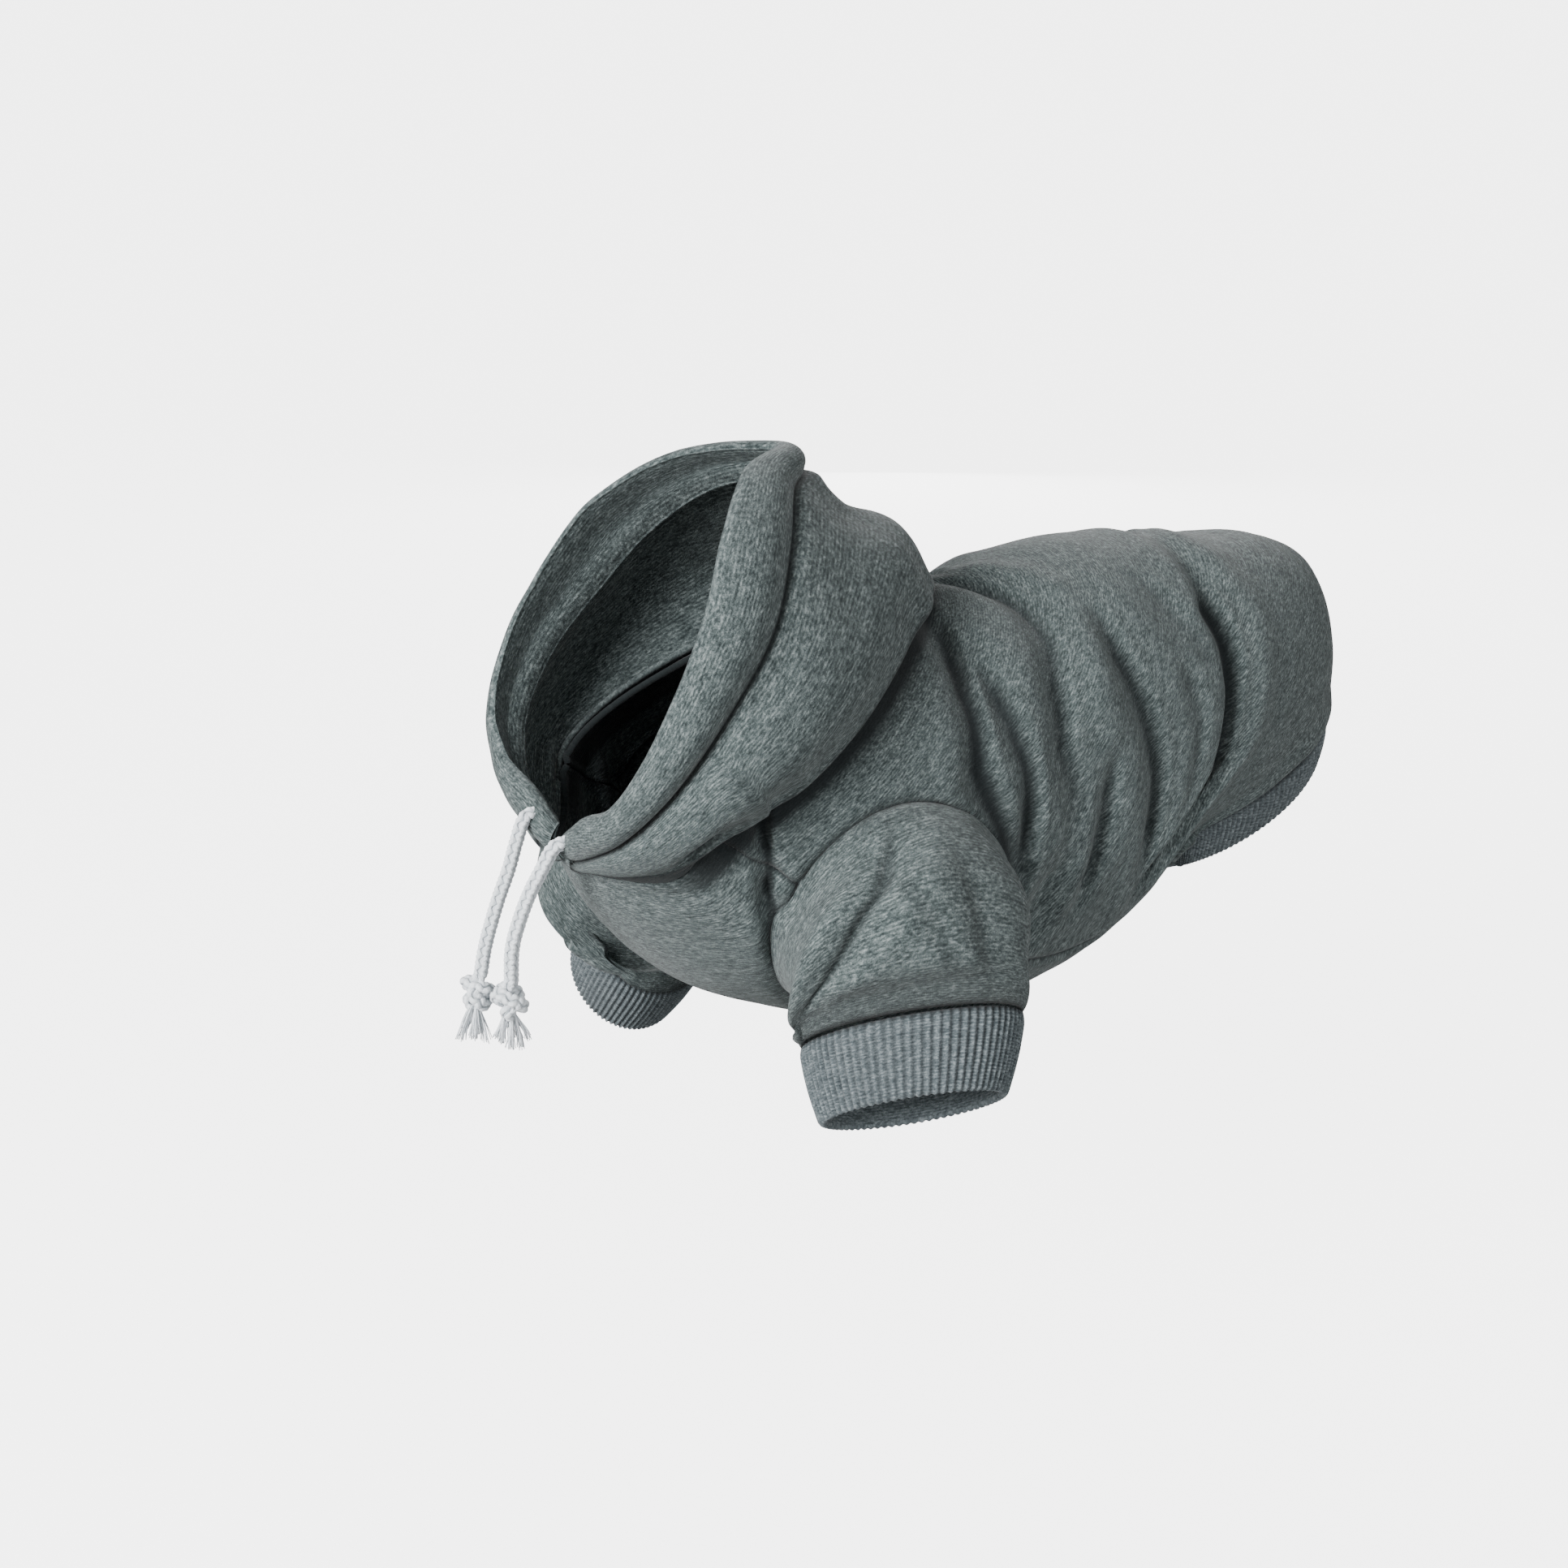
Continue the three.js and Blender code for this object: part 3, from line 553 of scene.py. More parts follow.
def signedVolume(points, faces):
    points = np.asarray(points)
    quads = np.array([f for f in faces if len(f) == 4])
    a, b, c, d = (points[quads[:, k]] for k in range(4))
    return np.einsum("ij,ij->i", a, np.cross(b, c) + np.cross(c, d)).sum()


def reverse(rows):
    return [row[::-1] for row in rows]


def flatten(rows):
    return [item for row in rows for item in row]


shell = {"edgeTurns": (45, 90, 135), "edgeRun": 0.6, "wrapRun": 2.0, "closingRun": 1.0}


# A wall of cloth round a face grid: outer side, round edge where asked for, inner side
def clothShell(name, outer, normals, depth, closed, rounded, slotName, shade):
    rows, shades = list(outer), list(shade)
    inner = outer - normals * depth[..., None]
    width = outer.shape[1]
    plain = np.zeros(width)
    across, down = runLengths(outer, closed)
    heights = list(down)
    if rounded:
        out = unit(outer[-1] - outer[-2])
        middle, half = (outer[-1] + inner[-1]) / 2, (outer[-1] - inner[-1]) / 2
        radius = np.linalg.norm(half, axis=-1, keepdims=True)
        for k, degrees in enumerate(shell["edgeTurns"]):
            a = math.radians(degrees)
            rows.append(middle + half * math.cos(a) + out * radius * math.sin(a))
            shades.append(plain)
            heights.append(down[-1] + shell["edgeRun"] * (k + 1))
    rows += list(inner[::-1])
    shades += [plain] * len(outer)
    heights += [2 * down[-1] + shell["wrapRun"] - h for h in down[::-1]]
    heights.append(heights[-1] + shell["closingRun"])
    count = len(rows)
    points = np.concatenate(rows)
    faces, uvs = [], []
    for j in range(count):
        n = (j + 1) % count
        h0, h1 = heights[j] * uvScale, heights[j + 1] * uvScale
        for i in range(width if closed else width - 1):
            k = (i + 1) % width
            u0, u1 = across[i] * uvScale, across[i + 1] * uvScale
            faces.append((j * width + i, j * width + k, n * width + k, n * width + i))
            uvs.append([(u0, h0), (u1, h0), (u1, h1), (u0, h1)])
    if not closed:
        corner = [(0, 0), (uvScale, 0), (uvScale, uvScale), (0, uvScale)]
        for i, turn in ((0, 1), (width - 1, -1)):
            ring = [j * width + i for j in range(count)][::turn]
            half = len(ring) // 2
            for m in range(half - 1):
                faces.append((ring[-1 - m], ring[-2 - m], ring[m + 1], ring[m]))
                uvs.append(corner)
            if len(ring) % 2:
                faces.append((ring[half + 1], ring[half], ring[half - 1]))
                uvs.append(corner[:3])
    if signedVolume(points, faces) < 0:
        faces, uvs = reverse(faces), reverse(uvs)
    return makeObject(name, points, faces, flatten(uvs), slotName, np.concatenate(shades))


def thicken(piece):
    bpy.ops.object.select_all(action="DESELECT")
    bpy.context.view_layer.objects.active = piece
    piece.select_set(True)
    modifier = piece.modifiers.new("solidify", "SOLIDIFY")
    modifier.thickness = cloth["wall"] * mm
    modifier.offset = -1
    modifier.use_even_offset = False
    bpy.ops.object.modifier_apply(modifier=modifier.name)
    piece.select_set(False)


# Back and chest panels, with the armholes cut and the edges turned in at each seam
panels = {
    "back_panel": {"columns": 200, "rows": 220},
    "chest_panel": {"columns": 90, "rows": 190},
    "folds": [(0.9, 30, 0.0), (0.28, 9, 3.3)],  # depth, size, shift
    "foldStretch": (1.0, 1.0, 0.55),
    "fineDepth": 1.6,
    "fineShape": (0.55, 1.3, 2.6),  # ridge, sharpness, tail
    "slopeShape": (0, 1.2, 4.0),
    "hemRun": 30,
    "neckRun": 32,
    "neckLap": 0.045,
    "calmEdge": 7,
    "seamGroove": 1.1,
    "seamHalf": 1.7,
    "welt": (0.35, 4.5, 2.2),  # height, place, half width
    "hemPuff": (1.6, 7, 5),
    # Strengths of the painted shade and of the painted shadow below the hood's brim
    "shadeDepth": 2.0,
    "creaseShade": 0.75,
    "slopeShade": 0.2,
    "brimShade": 0.95,
    "brimShadeStart": 7.0,
    "brimShadeHalf": 2.6,
    "brimShadePower": 1.5,
    "brimReach": 4,
    "seamShade": 0.75,
    "seamShadeHalf": 0.9,
}
fineCreases = [  # sharp lines at the bottom of the folds
    (1, 2.2, 2.2, 23, 0.5, 54, 1.25, 75, 2.0, 90, 2.85, 99, 3.35),
    (1, 1.9, 2.0, 47, 1.3, 60, 1.9, 75, 2.65, 86, 3.05, 100, 3.55),
    (1, 1.4, 2.4, -8, 1.05, 8, 1.4, 20, 1.75, 39, 2.25, 54, 2.55, 69, 3.0, 83, 3.75),
    (1, 1.6, 2.2, 34, 2.9, 48, 3.5, 63, 4.35, 78, 5.25, 90, 5.75, 100, 6.1),
    (1, 1.2, 2.0, 74, 3.95, 84, 4.35, 96, 4.7, 105, 4.85),
    (1, 2.4, 2.4, 30, 5.15, 36, 5.25, 51, 6.05, 64, 6.85, 75, 7.4, 90, 7.2, 102, 6.8, 109, 6.55),
    (1, 2.2, 1.1, 92, 0.05, 99.5, 0.27, 110, 0.68, 120, 1.12, 128.6, 1.6, 135, 2.0),
    (1, 0.8, 2.6, 52, 4.7, 66, 5.6, 80, 6.3),
    (1, 0.7, 3.0, 28, 3.9, 42, 4.6, 56, 5.5),
    (-1, 1.8, 2.4, 14, 0.6, 40, 1.3, 66, 2.1, 92, 3.4),
    (-1, 1.6, 2.4, 12, 1.6, 34, 2.4, 56, 3.2, 80, 4.5, 100, 5.2),
    (-1, 1.2, 2.2, 60, 4.2, 80, 5.2, 100, 5.8),
    (-1, 2.0, 2.4, 4, 4.9, 26, 5.4, 48, 6.2, 70, 7.2, 92, 7.2, 108, 6.7),
    (-1, 1.8, 1.2, 104, 0.4, 120, 1.2, 130, 1.8),
]
armhole = {"y": -151, "z": -105, "long": 43, "short": 41, "innermost": 30, "beyond": 9}
search = {"rounds": 12, "angleStep": 0.5, "sectionStep": 0.02, "angleReach": 15, "sectionReach": 0.6}


def armholeRatio(points):
    dy = (points[..., 1] - armhole["y"]) / armhole["long"]
    dz = (points[..., 2] - armhole["z"]) / armhole["short"]
    return np.where(np.abs(points[..., 0]) > armhole["innermost"], np.hypot(dy, dz), armhole["beyond"])


def placeOn(y, z, angle, section):
    da, ds = search["angleStep"], search["sectionStep"]
    for _ in range(search["rounds"]):
        p = torso(angle, section)
        pa = (torso(angle + da, section) - p) / da
        ps = (torso(angle, section + ds) - p) / ds
        dy, dz = y - p[..., 1], z - p[..., 2]
        det = pa[..., 1] * ps[..., 2] - pa[..., 2] * ps[..., 1]
        turn = (dy * ps[..., 2] - dz * ps[..., 1]) / det
        move = (pa[..., 1] * dz - pa[..., 2] * dy) / det
        angle = angle + np.clip(turn, -search["angleReach"], search["angleReach"])
        section = section + np.clip(move, -search["sectionReach"], search["sectionReach"])
    return torso(angle, section)


def clothFolds(angle, section, base):
    fine = panels["fineDepth"] * creaseDepth(angle, section, fineCreases, *panels["fineShape"])
    return fine + softFolds(base * np.array(panels["foldStretch"]), panels["folds"])


# Painted shade on the panels: darker in the fine creases and on their slopes and along the seams, plus a
# painted shadow below the hood's brim
def panelShade(angle, section, top, seams):
    sharp = -creaseDepth(angle, section, fineCreases, 0) / panels["shadeDepth"]
    broad = -creaseDepth(angle, section, fineCreases, *panels["slopeShape"]) / panels["shadeDepth"]
    shade = np.clip(sharp, 0, 1) * panels["creaseShade"] + np.clip(broad, 0, 1) * panels["slopeShade"]
    for distance in seams:
        shade = np.maximum(shade, panels["seamShade"] * bell(distance, panels["seamShadeHalf"]))
    reach = np.interp(np.abs(wrap(angle)), [row[0] for row in hoodRows], [row[1] for row in hoodRows])
    beyond = np.maximum(0, top - reach - panels["brimShadeStart"])
    brim = bell(beyond, panels["brimShadeHalf"], panels["brimShadePower"])
    return np.maximum(shade, panels["brimShade"] * brim * smoothStep(reach, 0, panels["brimReach"]))


def makePanel(name, fromAngle, toAngle):
    facts = panels[name]
    v = np.linspace(0, 1, facts["rows"] + 1)[:, None]
    u = np.linspace(0, 1, facts["columns"] + 1)[None, :]
    neck = neckSection(fromAngle(0) + (toAngle(0) - fromAngle(0)) * u) - panels["neckLap"]
    section = neck + (cloth["hemSection"] - neck) * v
    start, stop = fromAngle(section), toAngle(section)
    gap = cloth["seamGap"] / perDegree
    angle = start + gap + (stop - start - 2 * gap) * u
    base = torso(angle, section)
    normal = outwardNormals(base, False)
    ratio = armholeRatio(base)
    rim = np.abs(ratio - 1) * armhole["long"]
    side = np.minimum(angle - start, stop - angle) * perDegree
    hem = (cloth["hemSection"] - section) * panels["hemRun"]
    top = (section - neck) * panels["neckRun"]
    seams = (side, rim, hem, top)
    still = smoothStep(np.minimum.reduce(seams), 0, panels["calmEdge"])
    push = clothFolds(angle, section, base) * still
    for distance in seams:
        push -= panels["seamGroove"] * bell(distance, panels["seamHalf"])
        push += mound(distance, *panels["welt"])
    push += mound(hem, *panels["hemPuff"])
    points = base + normal * push[..., None]
    shade = panelShade(angle, section, top, seams)

    inside = ratio < 1
    keep = ~(inside[:-1, :-1] & inside[1:, :-1] & inside[:-1, 1:] & inside[1:, 1:])
    used = np.zeros(inside.shape, bool)
    for dj, di in np.ndindex(2, 2):
        used[dj : dj + keep.shape[0], di : di + keep.shape[1]] |= keep
    edge = inside & used
    dy = (base[..., 1][edge] - armhole["y"]) / ratio[edge]
    dz = (base[..., 2][edge] - armhole["z"]) / ratio[edge]
    snapped = placeOn(armhole["y"] + dy, armhole["z"] + dz, angle[edge], section[edge])
    points[edge] = snapped - normal[edge] * panels["seamGroove"]

    flatU, flatV = (lengths * uvScale for lengths in runLengths(base, False))
    index = np.arange(ratio.size).reshape(ratio.shape)
    faces, uvs = [], []
    for j, i in zip(*np.nonzero(keep)):
        faces.append((index[j, i], index[j, i + 1], index[j + 1, i + 1], index[j + 1, i]))
        u0, u1, v0, v1 = flatU[i], flatU[i + 1], flatV[j], flatV[j + 1]
        uvs.append([(u0, v0), (u1, v0), (u1, v1), (u0, v1)])
    points, normal, corners = points.reshape(-1, 3), normal.reshape(-1, 3), np.array(faces)
    a, b, c = (points[corners[:, k]] for k in (0, 1, 2))
    if (np.cross(b - a, c - a) * normal[corners[:, 0]]).sum() < 0:
        faces, uvs = reverse(faces), reverse(uvs)
    kept = list(dict.fromkeys(flatten(faces)))
    order = {k: n for n, k in enumerate(kept)}
    faces = [tuple(order[k] for k in face) for face in faces]
    title = name.replace("_panel", "Cloth")
    piece = makeObject(title, points[kept], faces, flatten(uvs), "fleece", shade.ravel()[kept])
    thicken(piece)
    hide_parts(name)
    return piece


def seamAngle(section):
    return between(sideSeam, rowAt(sideSeam, np.asarray(section, float)))[..., 1]


backCloth = makePanel("back_panel", lambda s: -seamAngle(s), seamAngle)
chestCloth = makePanel("chest_panel", seamAngle, lambda s: 360 - seamAngle(s))
print("panels made")


# Waistband: ribs across a band below the hem seam
ribbing = {"sharp": 1.6, "tuck": 0.8, "tuckHalf": 1.5, "tuckShade": 0.8, "tuckShadeHalf": 1.0}
band = {
    "ribs": 165,
    "perRib": 8,
    "rows": 9,
    "height": 15,
    "relief": 0.9,
    "lift": 0.4,
    "belly": 0.5,
    "wall": 3.0,
    "shade": 0.5,
    "start": 0.02,
}


def ribbedPiece(name, node, facts, base, v):
    phase = np.arange(facts["ribs"] * facts["perRib"])[None, :] / facts["perRib"]
    rib = 1 - np.abs(np.cos(np.pi * phase)) ** ribbing["sharp"]
    relief = facts["relief"] * rib
    down = facts["height"] * v
    push = facts["lift"] - relief + facts["belly"] * np.sin(np.pi * v)
    push -= ribbing["tuck"] * bell(down, ribbing["tuckHalf"])
    # Painted shade: darker in the grooves between the ribs and along the tucked top edge under the cloth
    # that laps over it
    shade = facts["shade"] * rib + ribbing["tuckShade"] * bell(down, ribbing["tuckShadeHalf"])
    depth = np.broadcast_to(facts["wall"] - relief, push.shape)
    normal = outwardNormals(base, True)
    outer = base + normal * push[..., None]
    piece = clothShell(name, outer, normal, depth, True, True, "rib_knit", shade)
    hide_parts(node)
    return piece


def makeWaistband():
    columns = band["ribs"] * band["perRib"]
    angle = np.arange(columns)[None, :] * 360 / columns
    v = np.linspace(0, 1, band["rows"] + 1)[:, None]
    base = baseTorso(angle, cloth["hemSection"] + band["start"] + (1 - band["start"]) * v)
    return ribbedPiece("waistbandRib", "waistband", band, base, v)


waistbandRib = makeWaistband()
print("waistband made")


# Hood: lies out over the shoulders, folds back at the overhang and runs to the channel at its edge
hood = {
    "columns": 300,
    "end": 0.999,
    "steps": [(0, 3, 22), (3, 5, 22), (5, 6.6, 24), (6.6, 7.25, 26), (7.25, 9, 32)],
    "lastStep": 9,
    "seamStep": 7,
    "paddingStep": 6.8,
    "reachFold": (1, 9),
    "beside": 0.04,
    "turn": 1.25,
    "layers": [  # share of the reach, turns out, turns up, step to the crease
        (0, 0, 0, 0),
        (0.5, 0, 0, 0.05),
        (0.92, 0, 0, 0.1),
        (1, 1, 1, 0.16),
        (0.96, 0, 2.1, 0.24),
    ],
    "rises": [(0.33, 0.9, 0.1), (0.68, 0.8, 0.85)],  # share of the rise, bulge, dip at the crown
    "crownHalf": 38,
    "rollMiddle": 0.45,
    "swell": 2.2,
    "roll": 3.0,
    "rollPower": 0.6,
    "frontRun": (4, 12),
    "puff": 3.6,
    "puffRise": 2.0,
    "puffRun": 20,
    "brim": (2.4, 4, 1.1),  # height, step, half width
    "brimLevels": (-70, -30),
    "freeSteps": (4.2, 5.2),
    "freeRun": 6,
    "folds": [(1.1, 26, 1.7), (0.35, 9, 5.1)],  # depth, size, shift
    "channelFolds": [(0.4, 11, 2.2)],
    "channelFree": (0.1, 0.4),
    "pocket": (0.635, 4.25, 0.045, 0.42),  # position, step and their half widths
    "pocketDepth": 5.0,
    "pocketShade": 0.85,
    "endStart": 0.965,
    "endLeast": 0.1,
    "seamShade": 0.9,
    "shadeHalf": 1.1,
    "underShade": 0.85,
    "underSteps": (3.6, 2.9),
}


def hoodRow(position):
    mirror = np.array([-1, 1, -1, 1, 1, -1, 1, 1, 1])
    rows = [*(mirror * row for row in hoodRows[:0:-1]), *hoodRows]
    span = len(hoodRows) - 1
    return between(rows, span + np.asarray(position) * span)


def hoodCurve(position):
    row = hoodRow(position)
    angle = row[:, 0]
    reach = np.maximum(0, row[:, 1])
    fold = smoothStep(reach, *hood["reachFold"])
    neck = neckSection(angle)
    start = torso(angle, neck)
    sectionRun = np.linalg.norm(torso(angle, neck + 0.5) - start, axis=-1) * 2
    crease, edge, bulge = row[:, 2:5], row[:, 5:8], row[:, 8:9]

    def place(along, height, step):
        ahead = along / sectionRun
        normal = facing(torso, angle, neck + np.maximum(ahead, 0.03), 1.5)
        lying = torso(angle, neck + ahead) + normal * height
        blend = fold[:, None]
        return (start + (crease - start) * step) * (1 - blend) + lying * blend

    turn = hood["turn"] * cloth["wall"]
    layers = [
        place(share * reach + out * turn, cloth["lining"] + up * turn, step)
        for share, out, up, step in hood["layers"]
    ]
    ahead = hoodRow(np.minimum(position + hood["beside"], 1))[:, 2:5]
    behind = hoodRow(np.maximum(position - hood["beside"], -1))[:, 2:5]
    along = unit(ahead - behind)
    rise = crease - layers[4]
    away = unit(np.cross(rise, along))
    roll = edge - crease
    swell = unit(np.cross(roll, along))
    crown = bell(angle, hood["crownHalf"])[:, None]
    panel = [
        layers[4] + rise * share + away * (out - dip * crown) * bulge
        for share, out, dip in hood["rises"]
    ]
    channel = crease + hood["rollMiddle"] * roll + hood["swell"] * swell
    return np.stack([*layers, *panel, crease, channel, edge], 0)


def makeHood():
    position = np.linspace(-hood["end"], hood["end"], hood["columns"] + 1)
    lines = hoodCurve(position)
    runs = [np.linspace(a, b, n, endpoint=False) for a, b, n in hood["steps"]]
    step = np.concatenate([*runs, [hood["lastStep"]]])
    base = between(lines.reshape(len(lines), -1), step).reshape(len(step), -1, 3)
    normal = outwardNormals(base, False)
    arc = np.cumsum(np.linalg.norm(np.diff(base, axis=0, prepend=base[:1]), axis=-1), axis=0)
    arc = arc - arc[np.argmin(np.abs(step - hood["seamStep"]))]
    step = step[:, None]
    channel = np.clip(arc / arc[-1], 0, 1)
    behind = np.maximum(-arc, 0)
    front = smoothStep(arc[-1][None, :], *hood["frontRun"])
    push = hood["roll"] * front * np.where(arc > 0, np.sin(np.pi * channel) ** hood["rollPower"], 0)
    puff = (1 - np.exp(-behind / hood["puffRise"])) * np.exp(-behind / hood["puffRun"])
    push += hood["puff"] * front * np.where(arc > 0, 0, puff)
    push += mound(step, *hood["brim"]) * smoothStep(lines[3, :, 2], *hood["brimLevels"])
    free = smoothStep(step, *hood["freeSteps"]) * smoothStep(behind, 0, hood["freeRun"])
    push += free * softFolds(base, hood["folds"])
    push += smoothStep(channel, *hood["channelFree"]) * softFolds(base, hood["channelFolds"])
    at, size, along, across = hood["pocket"]
    pocket = bell(np.abs(position) - at, along) * bell(step - size, across)
    push -= hood["pocketDepth"] * pocket
    over = np.maximum(0, np.abs(position) - hood["endStart"]) / (1 - hood["endStart"])
    ends = np.sqrt(np.clip(1 - over**2, hood["endLeast"], 1))
    points = base + normal * (push * ends)[..., None]
    # Painted shade: darker along the channel crease, in the pocket fold and on the underside beneath the
    # overhang
    shade = hood["seamShade"] * bell(arc, hood["shadeHalf"]) * front + hood["pocketShade"] * pocket
    shade += hood["underShade"] * smoothStep(step, *hood["underSteps"])
    k = np.clip((step - hood["paddingStep"]) / (hood["lastStep"] - hood["paddingStep"]), 0, 1)
    padding = (cloth["channel"] - cloth["wall"]) * np.sin(np.pi * k) ** hood["rollPower"]
    depth = np.broadcast_to(cloth["wall"] + padding, points.shape[:2]) * ends
    piece = clothShell("hoodCloth", points, normal, depth, False, True, "fleece", shade)
    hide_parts("hood")
    return piece


hoodCloth = makeHood()
print("hood made")


# Sleeves and cuffs
sleeve = {
    "columns": 180,
    "rows": 84,
    "height": 60,
    "rimInset": 0.3,
    "rimGuess": (100.0, 2.6),  # angle, section
    "armholeRun": 0.05,
    "holdRun": 0.3,
    "stand": 1.5,
    "folds": (0.9, 22, 4.4),  # depth, size, shift
    "ripples": (0.3, 8, 1.9),
    "creaseRun": 0.38,
    "creaseFade": (6, 0.1),  # slope, start
    "foldFade": 8,
    "ridges": (0.4, 0.2),
    "creases": [  # ring angle, run, slant, depth, half width in degrees
        (128, 0.45, 80, 4, 14),
        (62, 0.55, -40, 1.8, 14),
        (200, 0.6, 30, 1.6, 16),
    ],
    "sharp": [
        (130, 0.45, 80, 2.2, 4),
        (66, 0.6, -40, 0.7, 5),
        (96, 0.5, -70, 0.7, 6),
    ],
    "creaseShade": 0.5,
    "seamShade": 0.8,
    "seamGroove": 0.9,
    "seamHalves": (1.0, 1.2, 1.6),  # shade at the armhole, shade and groove at the cuff
}
farSleeve = {  # each run is a share of the sleeve's length
    "drop": 17,
    "dropBend": 0.6,
    "spread": 8,
    "spreadRun": (0, 0.5),
    "tuck": 0.3,
    "tuckRun": (0.5, 0.92),
    "forward": 5,
    "forwardRun": (0.2, 0.6),
    "backRun": (0.7, 0.86),
    "sink": 14,
    "sinkRun": 0.95,
    "sinkPower": 1.5,
    "calm": 0.35,
}
cuff = {
    "ribs": 72,
    "perRib": 8,
    "rows": 16,
    "relief": 1.0,
    "lift": 0.3,
    "belly": 0.7,
    "shade": 0.5,
    "wall": 3.0,
    "height": 25,
    "gap": 0.3,
    "long": 32,
    "short": 25.5,
    "lean": (0.417, -0.302, -0.857),
}


def sleeveFrame(run):
    row = between(sleeveRows, rowAt(sleeveRows, np.asarray(run, float)))
    t, k, h = (np.radians(row[..., n]) for n in (6, 7, 8))
    long = np.stack([np.sin(t) * np.cos(h), np.cos(t) * np.cos(h), np.sin(h)], -1) * row[..., 4:5]
    short = np.stack([np.cos(t) * np.cos(k), -np.sin(t) * np.cos(k), np.sin(k)], -1) * row[..., 5:6]
    return row[..., 1:4], long, short


def sleevePoints(degrees, run, rim):
    centre, long, short = sleeveFrame(run)
    a = np.radians(degrees)[..., None]
    free = centre + long * np.cos(a) + short * np.sin(a)
    past = np.maximum(0, run - sleeve["armholeRun"]) / sleeve["holdRun"]
    hold = np.maximum(0, 1 - past)[..., None] ** 2
    held = np.broadcast_to(rim, free.shape).copy()
    out = np.minimum(1, run / sleeve["armholeRun"])
    held[..., 0] += -cloth["wall"] + (sleeve["stand"] + cloth["wall"]) * out
    return free * (1 - hold) + held * hold


def mirrored(points, side, run):
    if side > 0:
        return points
    run = np.broadcast_to(run, points.shape[:-1])
    far = farSleeve
    share = run * run * (1 + far["dropBend"] * (1 - run))
    tuck = far["tuck"] * smoothStep(run, *far["tuckRun"])
    spread = far["spread"] * (smoothStep(run, *far["spreadRun"]) - tuck)
    forward = far["forward"] * smoothStep(run, *far["forwardRun"]) * (1 - smoothStep(run, *far["backRun"]))
    sag = np.sin(np.pi * np.clip(run / far["sinkRun"], 0, 1)) ** far["sinkPower"]
    fall = far["drop"] * share + far["sink"] * sag
    return np.stack([-points[..., 0] - spread, points[..., 1] - forward, points[..., 2] - fall], -1)


def sleeveFolds(table, degrees, run, ridge):
    total = np.zeros(degrees.shape)
    for angle, middle, slant, depth, half in table:
        off = wrap(degrees - angle - slant * (run - middle)) / half
        fade = np.maximum(0, 1 - ((run - middle) / sleeve["creaseRun"]) ** 2)
        total += depth * fade * (ridge * bell(np.abs(off) - creaseShape["ridgePlace"]) - bell(off))
    return total


def makeSleeve(side, hand):
    degrees = np.arange(sleeve["columns"])[None, :] * 360 / sleeve["columns"]
    run = np.linspace(0, 1, sleeve["rows"] + 1)[:, None]
    degrees, run = np.broadcast_arrays(degrees, run)
    a = np.radians(degrees[0])
    y = armhole["y"] + (armhole["long"] - sleeve["rimInset"]) * np.cos(a)
    z = armhole["z"] + (armhole["short"] - sleeve["rimInset"]) * np.sin(a)
    rim = placeOn(y, z, *(np.full(len(a), guess) for guess in sleeve["rimGuess"]))
    points = sleevePoints(degrees, run, rim[None])
    normal = outwardNormals(points, True)
    calm = 1 if side > 0 else farSleeve["calm"]
    push = calm * sleeveFolds(sleeve["creases"], degrees, run, sleeve["ridges"][0])
    slope, begin = sleeve["creaseFade"]
    push *= np.clip(slope * np.minimum(run - begin, 1 - run), 0, 1)
    sharp = calm * sleeveFolds(sleeve["sharp"], degrees, run, sleeve["ridges"][1])
    start, stop = run * sleeve["height"], (1 - run) * sleeve["height"]
    atStart, atStop, groove = sleeve["seamHalves"]
    # Painted shade: darker in the sharp creases and along the armhole and cuff seams
    shade = sleeve["creaseShade"] * np.clip(-sharp, 0, 1)
    shade += sleeve["seamShade"] * (bell(stop, atStop) + bell(start, atStart))
    free = np.clip(sleeve["foldFade"] * np.minimum(run - sleeve["armholeRun"], 1 - run), 0, 1)
    depth, size, shift = sleeve["folds"]
    push += sharp + free * softFolds(points, [(depth, size, shift * side), sleeve["ripples"]])
    push -= sleeve["seamGroove"] * bell(stop, groove)
    points = mirrored(points + normal * push[..., None], side, run)
    normal = outwardNormals(points, True)
    depth = np.full(degrees.shape, cloth["wall"])
    name = f"sleeveCloth_{hand}"
    piece = clothShell(name, points, normal, depth, True, False, "fleece", shade)
    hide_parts(f"sleeve_{hand}")
    return piece


def makeCuff(side, hand):
    centre, long, short = sleeveFrame(np.array(1.0))
    columns = cuff["ribs"] * cuff["perRib"]
    a = (np.arange(columns) * 2 * math.pi / columns)[None, :, None]
    v = np.linspace(0, 1, cuff["rows"] + 1)[:, None, None]
    reachLong = np.linalg.norm(long) * (1 - v) + cuff["long"] * v
    reachShort = np.linalg.norm(short) * (1 - v) + cuff["short"] * v
    points = (
        centre
        + unit(np.cross(long, short)) * cuff["gap"]
        + np.array(cuff["lean"]) * cuff["height"] * v
        + unit(long) * reachLong * np.cos(a)
        + unit(short) * reachShort * np.sin(a)
    )
    points = mirrored(points, side, np.ones(points.shape[:-1]))
    return ribbedPiece(f"cuffRib_{hand}", f"cuff_{hand}", cuff, points, v[..., 0])


for side, hand in ((1, "left"), (-1, "right")):
    makeSleeve(side, hand)
    makeCuff(side, hand)
print("sleeves and cuffs made")


